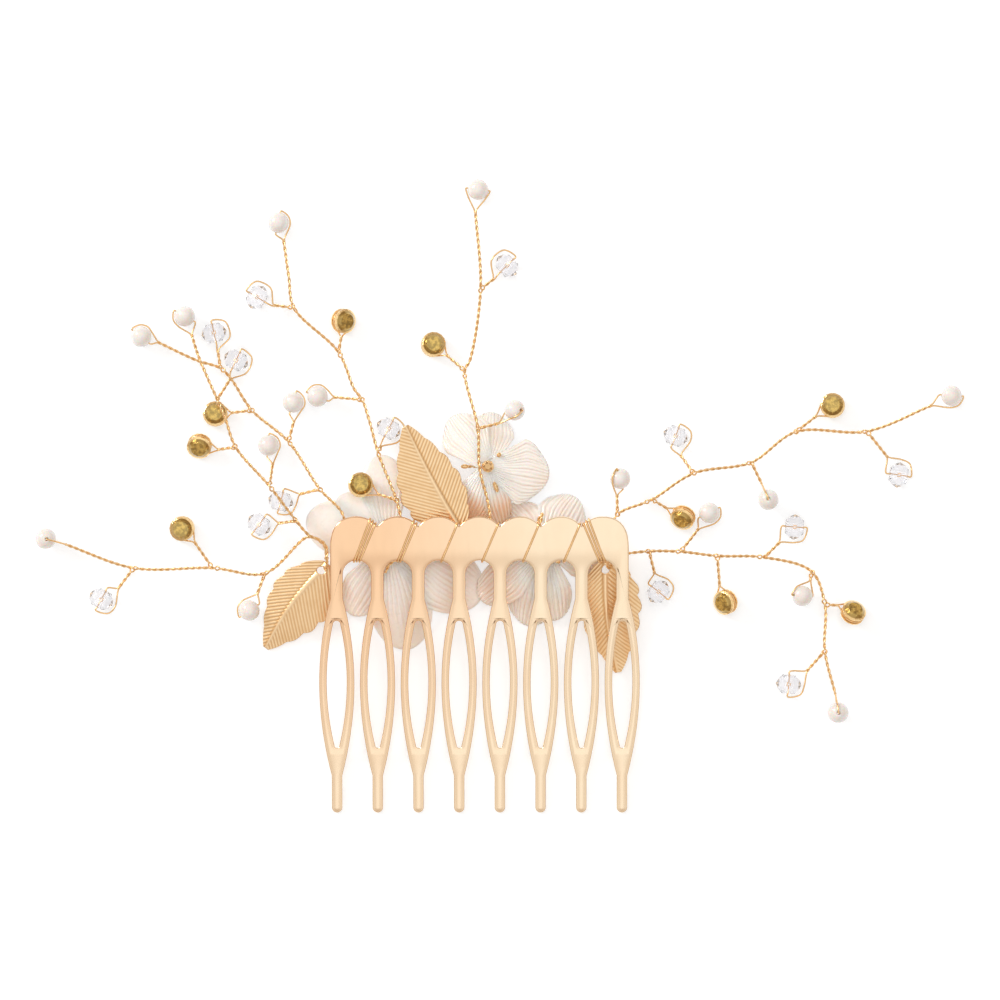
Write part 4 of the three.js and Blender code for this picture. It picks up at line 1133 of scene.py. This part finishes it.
# A stem's points are (x, y, height), with height from 0 on the table to 1 under the band.
# Each bead: the stem point its twig leaves, the twig's end, and how its bore or stone turns.
# The last bead of a spray has no twig: the stem ends at it. Beads are numbered in this order.
SPRAYS = [
    {
        "name": "top",
        "stem": [(-1.5, -6.5, 1), (-2, -1.5, 1), (-3.7, 5.5, 1), (-4, 13, 0.85), (-6.5, 24, 0.5),
                 (-5.5, 26, 0.45), (-3.5, 39.5, 0.1), (-4.5, 54.5, 0)],
        "beads": [
            {"kind": "pearl", "on": 3, "end": (0, 14, 0.7), "bore": 120, "roll": 60},
            {"kind": "stone", "on": 4, "end": (-10, 27, 0.2), "lean": 10},
            {"kind": "crystal", "on": 6, "end": (-1, 41.5, 0), "roll": 180},
            {"kind": "pearl", "bore": 90},
        ],
    },
    {
        "name": "upper_left",
        "stem": [(-18, -6.5, 1), (-19.5, -0.5, 0.95), (-23, 8.5, 0.6), (-24.5, 14, 0.5),
                 (-26, 18.5, 0.4), (-27.5, 20.5, 0.35), (-30.5, 27.5, 0.2), (-39, 36, 0.05),
                 (-40, 42, 0), (-41, 49, 0)],
        "beads": [
            {"kind": "stone", "on": 1, "end": (-23, 0.5, 0.8), "lean": 8},
            {"kind": "crystal", "on": 2, "end": (-22.4, 9.7, 0.4), "bore": 175},
            {"kind": "pearl", "on": 4, "end": (-31.5, 19, 0.1), "bore": 160},
            {"kind": "stone", "on": 6, "end": (-30, 30.5, 0.1), "lean": 35},
            {"kind": "crystal", "on": 7, "end": (-43, 36.5, 0), "bore": 175},
            {"kind": "pearl", "bore": 150},
        ],
    },
    {
        "name": "left_high",
        "stem": [(-29, -6.5, 1), (-29.8, -3, 0.95), (-34, 1.5, 0.75), (-40, 10.5, 0.3),
                 (-47, 16.5, 0.05), (-51, 22.5, 0), (-53, 24.5, 0), (-57.5, 26, 0),
                 (-65, 29.5, 0)],
        "beads": [
            {"kind": "crystal", "on": 2, "end": (-38, 0.5, 0.3), "bore": 125, "roll": 180},
            {"kind": "pearl", "on": 3, "end": (-39, 14.5, 0.1), "bore": 160},
            {"kind": "stone", "on": 4, "end": (-51, 16, 0), "lean": 8},
            {"kind": "crystal", "on": 6, "end": (-53.5, 28, 0)},
            {"kind": "pearl", "bore": 160},
        ],
    },
    {
        "name": "left_middle",
        "stem": [(-32.7, -12, 0.75), (-32.8, -9.5, 0.8), (-33.8, -8.3, 0.9), (-36, -7.3, 0.95),
                 (-38.5, -4.5, 1), (-43.5, 2, 1), (-50, 9.5, 0.75), (-52, 15, 0.75),
                 (-53.5, 18.5, 0.7), (-57, 26.5, 0.5), (-58.5, 31, 0.1)],
        "beads": [
            {"kind": "crystal", "on": 4, "end": (-42, -5, 0.2), "bore": 130, "roll": 180},
            {"kind": "pearl", "on": 5, "end": (-43, 6.5, 0.2), "bore": 160},
            {"kind": "stone", "on": 6, "end": (-53.5, 9, 0.2), "lean": -30},
            {"kind": "crystal", "on": 8, "end": (-51, 22.5, 0.45), "bore": 170},
            {"kind": "pearl", "bore": 140, "roll": 180},
        ],
    },
    {
        "name": "left_low",
        "stem": [(-32.9, -11.8, 0.42), (-33, -9.6, 0.46), (-34, -8.4, 0.5), (-36.3, -7.6, 0.52),
                 (-44.5, -14.5, 0.1), (-54.5, -13.5, 0), (-69.5, -13.5, 0), (-82.5, -9, 0)],
        "beads": [
            {"kind": "pearl", "on": 4, "end": (-46, -18.5, 0), "bore": 150},
            {"kind": "stone", "on": 5, "end": (-58, -8.5, 0), "lean": -8},
            {"kind": "crystal", "on": 6, "end": (-72.5, -17.5, 0), "bore": 150, "roll": 180},
            {"kind": "pearl", "bore": 80, "roll": 90},
        ],
    },
    {
        "name": "right",
        "stem": [(21, -6.5, 1), (22.5, -3.3, 1), (29, -0.5, 0.8), (37, 4.5, 0.45), (48, 6.6, 0.15),
                 (56.5, 12.4, 0), (70, 12.5, 0), (82.5, 17.5, 0)],
        "beads": [
            {"kind": "pearl", "on": 1, "end": (22.4, 0.3, 0.8), "bore": 140, "roll": 130},
            {"kind": "stone", "on": 2, "end": (32, -2.2, 0.3), "lean": 40},
            {"kind": "crystal", "on": 3, "end": (34.5, 8, 0.2), "bore": 145},
            {"kind": "pearl", "on": 4, "end": (50, 2.5, 0), "bore": 85, "roll": 90},
            {"kind": "stone", "on": 5, "end": (60.5, 15.5, 0), "lean": -8},
            {"kind": "crystal", "on": 6, "end": (74, 7.5, 0), "bore": 130, "roll": 180},
            {"kind": "pearl", "bore": 150},
        ],
    },
    {
        "name": "right_low",
        "stem": [(22.2, -11, 0.85), (28.5, -10.3, 0.8), (34.5, -10.4, 0.55), (41.5, -11.2, 0.25),
                 (50.5, -11.5, 0.05), (59.5, -14.2, 0), (62, -20.5, 0), (62, -29.3, 0),
                 (64, -37.5, 0)],
        "beads": [
            {"kind": "crystal", "on": 1, "end": (29.6, -14.6, 0.4), "bore": 140, "roll": 180},
            {"kind": "pearl", "on": 2, "end": (38, -6, 0.2), "bore": 150},
            {"kind": "stone", "on": 3, "end": (42, -17, 0), "lean": 40},
            {"kind": "crystal", "on": 4, "end": (53.5, -8.5, 0), "bore": 130},
            {"kind": "pearl", "on": 5, "end": (59.2, -16, 0), "bore": 110, "roll": 30},
            {"kind": "stone", "on": 6, "end": (64.6, -20.6, 0), "lean": -40},
            {"kind": "crystal", "on": 7, "end": (58.5, -33.2, 0), "bore": 130, "roll": 180},
            {"kind": "pearl", "bore": 90, "roll": 90},
        ],
    },
]


def stem_point(point):
    """A spray's table point as a place in the layout."""
    x, y, share = point
    return Vector((x, y, wire_height(share)))


def numbered_beads():
    """Every bead with its CAD node, its spray, its twig's root and end, and its centre."""
    counts = {"pearl": 0, "crystal": 0, "stone": 0}
    found = []
    for spray in SPRAYS:
        stem = [stem_point(point) for point in spray["stem"]]
        for bead in spray["beads"]:
            kind = bead["kind"]
            counts[kind] += 1
            node = f"{kind}_{counts[kind]:02d}"
            twig = "end" in bead
            found.append(
                {
                    **bead,
                    "node": node,
                    "spray": spray["name"],
                    "twig": twig,
                    "root": stem[bead["on"]] if twig else stem[-2],
                    "end": stem_point(bead["end"]) if twig else stem[-1],
                    "centre": bead_centre(node),
                }
            )
    return found


def bead_frame(bead):
    """Towards the bead's twig, sideways, and the axis of its bore or its stone."""
    facing = Vector((bead["end"].x, bead["end"].y, bead["centre"].z))
    to_twig = (facing - bead["centre"]).normalized()
    left = UP.cross(to_twig).normalized()
    above = to_twig.cross(left)
    if bead["kind"] == "stone":
        lean = math.radians(bead["lean"])
        axis = above * math.cos(lean) + left * math.sin(lean)
        return to_twig, axis.cross(to_twig), axis
    roll = math.radians(bead.get("roll", 0))
    bore = math.radians(bead.get("bore", 180))
    sideways = left * math.cos(roll) + above * math.sin(roll)
    axis = to_twig * math.cos(bore) + sideways * math.sin(bore)
    return to_twig, sideways, axis


LOOP_TURN = 40
BORE_STRAIGHT = 0.85
PEARL_CLEAR = 0.3
CRYSTAL_CLEAR = 0.5
CRYSTAL_SHOULDER = 0.14
PAIR_SPREAD = 0.17
PAIR_DEPTH = 0.5


def strand_ends(bead, sideways, side):
    """Where one of a bead's two strands leaves the twig, and its place inside the twig."""
    inward = (bead["root"] - bead["end"]).normalized()
    leaving = bead["end"] + sideways * side * PAIR_SPREAD
    return leaving + inward * PAIR_DEPTH, leaving


def bore_loop(bead, sizes):
    """The strand that leaves the twig, passes the bore and comes back round the bead."""
    to_twig, sideways, axis = bead_frame(bead)
    pearl = bead["kind"] == "pearl"
    half = sizes.pearl_radius if pearl else sizes.crystal_half
    radius = sizes.pearl_radius if pearl else sizes.crystal_radius
    clear = PEARL_CLEAR if pearl else CRYSTAL_CLEAR
    shoulder = 0 if pearl else CRYSTAL_SHOULDER
    across = to_twig - axis * to_twig.dot(axis)
    if across.length < 1e-2:
        across = sideways.copy()
    across.normalize()
    centre = bead["centre"]

    def around(degrees):
        turn = math.radians(degrees)
        swell = 1 + shoulder * math.sin(2 * turn) ** 2
        along = axis * (half + clear) * math.cos(turn)
        return centre + swell * (along + across * (radius + clear) * math.sin(turn))

    bore = bead.get("bore", 180)
    route = list(strand_ends(bead, sideways, -1))
    angle = LOOP_TURN + 10
    while angle < 180 - bore - LOOP_TURN / 2:
        route.append(around(bore + angle))
        angle += LOOP_TURN
    mouth = half + clear + shoulder
    for step in (-mouth, -half * BORE_STRAIGHT, half * BORE_STRAIGHT, mouth):
        route.append(centre + axis * step)
    angle = LOOP_TURN + 5
    while angle < bore - LOOP_TURN / 2 - 5:
        route.append(around(angle))
        angle += LOOP_TURN
    route += list(strand_ends(bead, sideways, 1))[::-1]
    return route


def groove_loop(bead, sizes, wire):
    """The strand that lies in a stone's groove all the way round."""
    to_twig, sideways, _axis = bead_frame(bead)
    radius = sizes.stone_radius - wire.strand_radius
    route = list(strand_ends(bead, sideways, 1))
    for degrees in range(LOOP_TURN, 361 - LOOP_TURN, LOOP_TURN):
        turn = math.radians(degrees)
        spoke = to_twig * math.cos(turn) + sideways * math.sin(turn)
        route.append(bead["centre"] + spoke * radius)
    route += list(strand_ends(bead, sideways, -1))[::-1]
    return route


class BuildSprays(Operator):
    """The seven sprays of twisted wire, with a loop of one strand round each bead."""

    bl_idname = "haircomb.build_sprays"
    bl_label = "Wire Sprays"

    def execute(self, context):
        wire = context.scene.wire_sizes
        sizes = context.scene.bead_sizes
        metal = wire_metal(context.scene.comb_finishes)
        beads = numbered_beads()
        for spray in SPRAYS:
            stem = [stem_point(point) for point in spray["stem"]]
            own = [bead for bead in beads if bead["spray"] == spray["name"]]
            fine = smooth_route(stem)
            along = run_lengths(fine)
            eyelets = []
            routes = []
            for count, bead in enumerate(own):
                if bead["kind"] == "stone":
                    loop = groove_loop(bead, sizes, wire)
                else:
                    loop = bore_loop(bead, sizes)
                routes.append(smooth_route(loop))
                if not bead["twig"]:
                    continue
                root = bead["root"]
                nearest = min(range(len(fine)), key=lambda i: (fine[i] - root).length)
                eyelets.append(along[nearest] - EYELET_REACH * (count % 2))
                middle = (root + bead["end"]) / 2
                routes += twisted_pair([root, middle, bead["end"]], wire, [0.5], count)
            routes += twisted_pair(stem, wire, eyelets)
            name = spray["name"]
            mesh = tubes(f"spray_{name}", routes, wire.strand_radius)
            node = f"spray_wire_{name}"
            finish_piece(f"twisted_spray_{name}", mesh, metal, [node])
        return {"FINISHED"}


# ---- Beads ----

BORE_RADIUS = 0.42
BORE_SHARE = 0.8
MOUTH_DEPTH = 0.1
PEARL_STEPS = 44
PEARL_ROWS = 22
CRYSTAL_TABLE = 1.25
CRYSTAL_WAIST = 2.12
CRYSTAL_WAIST_AT = 0.98
STONE_TABLE = 1.42
STONE_SHOULDER = 2.0
STONE_SHOULDER_AT = 0.9
STONE_CUP_LIP = 0.05
STONE_GIRDLE_AT = 0.74
STONE_GROOVE = 1.85
STONE_GROOVE_HALF = 0.36
STONE_GROOVE_FLARE = 0.1


def spun(profile, steps):
    """A bmesh of a profile of (radius, height) points spun right round Z."""
    bm = bmesh.new()
    verts = [bm.verts.new((radius, 0, height)) for radius, height in profile]
    closed = profile[0][0] > 0
    loops = zip(verts, verts[1:] + verts[:1]) if closed else zip(verts, verts[1:])
    edges = [bm.edges.new(pair) for pair in loops]
    bmesh.ops.spin(
        bm, geom=verts + edges, cent=(0, 0, 0), axis=(0, 0, 1),
        angle=2 * math.pi, steps=steps, use_merge=True,
    )
    bmesh.ops.remove_doubles(bm, verts=bm.verts, dist=1e-5)
    return bm


def turn_ring(bm, height, angle):
    """Turns the rings at a height above and below the middle, so that facets alternate."""
    ring = [v for v in bm.verts if abs(abs(v.co.z) - height) < 1e-3]
    bmesh.ops.rotate(bm, cent=(0, 0, 0), matrix=Matrix.Rotation(angle, 3, "Z"), verts=ring)


def pearl_shape(sizes):
    """A round pearl with a bore right through it and softened mouths."""
    radius = sizes.pearl_radius
    start = math.asin(BORE_RADIUS / radius)
    profile = []
    for i in range(PEARL_ROWS + 1):
        angle = mixed(start, math.pi - start, i / PEARL_ROWS)
        profile.append((radius * math.sin(angle), -radius * math.cos(angle)))
    mouth = profile[-1][1] - MOUTH_DEPTH
    profile += [(BORE_RADIUS * BORE_SHARE, mouth), (BORE_RADIUS * BORE_SHARE, -mouth)]
    return spun(profile, PEARL_STEPS)


def both_ways(top, middle=()):
    """A profile's top half, from its axis outwards, with its mirror image below."""
    return [(radius, -height) for radius, height in top] + [*middle] + top[::-1]


def crystal_shape(sizes):
    """A cut crystal: two rows of alternating facets each side of its girdle."""
    half = sizes.crystal_half
    top = [(BORE_RADIUS, half), (CRYSTAL_TABLE, half), (CRYSTAL_WAIST, CRYSTAL_WAIST_AT)]
    bm = spun(both_ways(top, [(sizes.crystal_radius, 0)]), sizes.facets)
    turn_ring(bm, CRYSTAL_WAIST_AT, math.pi / sizes.facets)
    bmesh.ops.triangulate(bm, faces=[f for f in bm.faces if len(f.verts) > 3])
    return bm


def stone_shape(sizes):
    """Two foiled cut stones back to back, with a groove for the wire between them."""
    half = sizes.stone_half
    top = [
        (0, half),
        (STONE_TABLE, half),
        (STONE_SHOULDER, STONE_SHOULDER_AT),
        (STONE_SHOULDER + STONE_CUP_LIP, STONE_SHOULDER_AT - STONE_CUP_LIP / 2),
        (sizes.stone_radius, STONE_GIRDLE_AT),
        (sizes.stone_radius, STONE_GROOVE_HALF + STONE_GROOVE_FLARE),
        (STONE_GROOVE, STONE_GROOVE_HALF),
    ]
    bm = spun(both_ways(top), 2 * sizes.facets)
    turn_ring(bm, half, math.pi / sizes.facets / 2)
    bmesh.ops.triangulate(bm, faces=[f for f in bm.faces if len(f.verts) > 3])
    bm.verts.layers.float.new("table")
    bm.verts.layers.float.new("rim")
    table = bm.verts.layers.float["table"]
    rim = bm.verts.layers.float["rim"]
    for vert in bm.verts:
        vert[rim] = 1.0 if abs(vert.co.z) < STONE_SHOULDER_AT - 0.01 else 0.0
        # The table value marks painted light: full at the table's middle, less over the rest of
        # the table, none on the facets.
        on_table = abs(abs(vert.co.z) - half) < 1e-3
        vert[table] = (1.0 if vert.co.xy.length < 0.1 else 0.6) if on_table else 0.0
    return bm


def build_beads(kind, shape, material, smooth):
    """Every bead of a kind, each its own piece, turned to its bore or its table."""
    template = mesh_of(shape, kind)
    for bead in numbered_beads():
        if bead["kind"] != kind:
            continue
        _to_twig, _sideways, axis = bead_frame(bead)
        turn = axis.to_track_quat("Z", "Y").to_matrix().to_4x4()
        mesh = template.copy()
        mesh.transform(Matrix.Translation(bead["centre"]) @ turn)
        finish_piece(f"wired_{bead['node']}", mesh, material, [bead["node"]], smooth)
    bpy.data.meshes.remove(template)


class BuildPearls(Operator):
    """The sixteen pearls, bored for their wire."""

    bl_idname = "haircomb.build_pearls"
    bl_label = "Pearls"

    def execute(self, context):
        material = pearl_lustre(context.scene.comb_finishes)
        build_beads("pearl", pearl_shape(context.scene.bead_sizes), material, True)
        return {"FINISHED"}


class BuildCrystals(Operator):
    """The thirteen clear cut crystals."""

    bl_idname = "haircomb.build_crystals"
    bl_label = "Crystals"

    def execute(self, context):
        material = clear_glass(context.scene.comb_finishes)
        shape = crystal_shape(context.scene.bead_sizes)
        build_beads("crystal", shape, material, False)
        return {"FINISHED"}


class BuildStones(Operator):
    """The ten foiled stones, each held in its groove."""

    bl_idname = "haircomb.build_stones"
    bl_label = "Foiled Stones"

    def execute(self, context):
        material = foiled_stone(context.scene.comb_finishes)
        build_beads("stone", stone_shape(context.scene.bead_sizes), material, False)
        return {"FINISHED"}


# ---- Stage ----

VIEW_WIDTH = 0.190
VIEW_MIDDLE = Vector((-0.00004, -0.00074, 0.004))
CAMERA_HEIGHT = 1.3
SENSOR_WIDTH = 36.0
CLIP_NEAR = 0.05
CLIP_FAR = 10
TABLE_HALF = 1.5
TABLE_DROP = 0.00002
# The dome's colours, from straight down at 0 to straight up at 1.
SKY_STOPS = [
    (0.0, (0.62, 0.52, 0.43)),
    (0.25, (0.36, 0.25, 0.17)),
    (0.68, (0.66, 0.58, 0.51)),
    (0.95, (1, 0.99, 0.97)),
]
SKY_STRENGTH = 1.05
# Each light: its name, place, size, power, tint, and whether polished metal mirrors it.
LIGHTS = [
    ("overhead_panel", (0.1, 0.5, 1.5), 1.2, 4.0, (1.0, 1.0, 1.0), False),
    ("side_softbox", (-1.3, 0.9, 0.8), 0.5, 12.0, (1.0, 0.99, 0.98), True),
]


class SetStage(Operator):
    """The pale table, the soft studio light and the camera straight above."""

    bl_idname = "haircomb.set_stage"
    bl_label = "Stage"

    def execute(self, context):
        scene = context.scene
        self.add_floor(scene)
        self.add_sky(scene)
        for light in LIGHTS:
            self.add_light(scene, *light)
        self.add_camera(scene)
        scene.view_settings.view_transform = "Standard"
        return {"FINISHED"}

    def add_floor(self, scene):
        """A broad flat table top, a hair below the frame's base."""
        bm = bmesh.new()
        bmesh.ops.create_grid(bm, x_segments=1, y_segments=1, size=TABLE_HALF)
        mesh = mesh_of(bm, "table_top")
        mesh.transform(Matrix.Translation((0, 0, -TABLE_DROP)))
        shader = Shader("pale_table").constants(
            Roughness=0.9, Specular_IOR_Level=0.0, Emission_Strength=0.46
        )
        shade = [channel * 0.985 for channel in scene.comb_finishes.floor]
        tone = shader.blend(shader.noise(6, 2), scene.comb_finishes.floor, shade)
        shader.feed("Base Color", tone).constants(Emission_Color=(0.92, 0.96, 1.0, 1))
        mesh.materials.append(shader.material)
        floor = bpy.data.objects.new("table_top", mesh)
        scene.collection.objects.link(floor)

    def add_sky(self, scene):
        """A studio dome: white overhead, dim and warm low down, so that metal has edges."""
        world = bpy.data.worlds.new("studio_dome")
        scene.world = world
        world.use_nodes = True
        nodes, links = world.node_tree.nodes, world.node_tree.links
        direction = nodes.new("ShaderNodeTexCoord").outputs["Generated"]
        split = nodes.new("ShaderNodeSeparateXYZ")
        links.new(direction, split.inputs["Vector"])
        ramp = nodes.new("ShaderNodeValToRGB")
        links.new(split.outputs["Z"], ramp.inputs["Fac"])
        stops = ramp.color_ramp.elements
        first, *between, last = SKY_STOPS
        for stop, (height, tone) in zip(stops, (first, last)):
            stop.position = height
            stop.color = (*tone, 1)
        for height, tone in between:
            stops.new(height).color = (*tone, 1)
        background = nodes["Background"]
        links.new(ramp.outputs["Color"], background.inputs["Color"])
        background.inputs["Strength"].default_value = SKY_STRENGTH

    def add_light(self, scene, name, place, size, power, tint, mirrored):
        """A square softbox facing the comb, which polished metal may mirror."""
        lamp = bpy.data.lights.new(name, "AREA")
        lamp.size = size
        lamp.energy = power
        lamp.color = tint
        light = bpy.data.objects.new(name, lamp)
        light.location = place
        light.rotation_euler = (-Vector(place)).to_track_quat("-Z", "Y").to_euler()
        light.visible_glossy = mirrored
        scene.collection.objects.link(light)

    def add_camera(self, scene):
        """A long lens straight above, framing the comb from bead to bead."""
        lens = bpy.data.cameras.new("overhead_camera")
        lens.sensor_width = SENSOR_WIDTH
        lens.lens = SENSOR_WIDTH * (CAMERA_HEIGHT - VIEW_MIDDLE.z) / VIEW_WIDTH
        lens.clip_start = CLIP_NEAR
        lens.clip_end = CLIP_FAR
        camera = bpy.data.objects.new("overhead_camera", lens)
        camera.location = (VIEW_MIDDLE.x, VIEW_MIDDLE.y, CAMERA_HEIGHT)
        scene.collection.objects.link(camera)
        scene.camera = camera


# ---- Panel and registration ----

STEPS = [
    SetStage,
    BuildComb,
    BuildLashing,
    BuildPetals,
    BuildFlowerCentres,
    BuildLeaves,
    BuildSprays,
    BuildPearls,
    BuildCrystals,
    BuildStones,
]


class HairCombPanel(Panel):
    """Lists the sizes, the finishes and the steps that build the comb."""

    bl_idname = "VIEW3D_PT_hair_comb"
    bl_label = "Hair Comb"
    bl_space_type = "VIEW_3D"
    bl_region_type = "UI"
    bl_category = "Hair Comb"

    def draw(self, context):
        for setting, group in SETTINGS.items():
            box = self.layout.box()
            for name in group.__annotations__:
                box.prop(getattr(context.scene, setting), name)
        for step in STEPS:
            self.layout.operator(step.bl_idname)


CLASSES = [*SETTINGS.values(), *STEPS, HairCombPanel]


def register():
    """Adds the classes and the scene's settings."""
    for item in CLASSES:
        bpy.utils.register_class(item)
    for setting, group in SETTINGS.items():
        setattr(bpy.types.Scene, setting, PointerProperty(type=group))


def unregister():
    """Takes the settings and the classes away again."""
    for setting in SETTINGS:
        delattr(bpy.types.Scene, setting)
    for item in reversed(CLASSES):
        bpy.utils.unregister_class(item)


def main():
    """Builds every piece in order."""
    register()
    for step in STEPS:
        group, call = step.bl_idname.split(".")
        getattr(getattr(bpy.ops, group), call)()


if __name__ == "__main__":
    main()
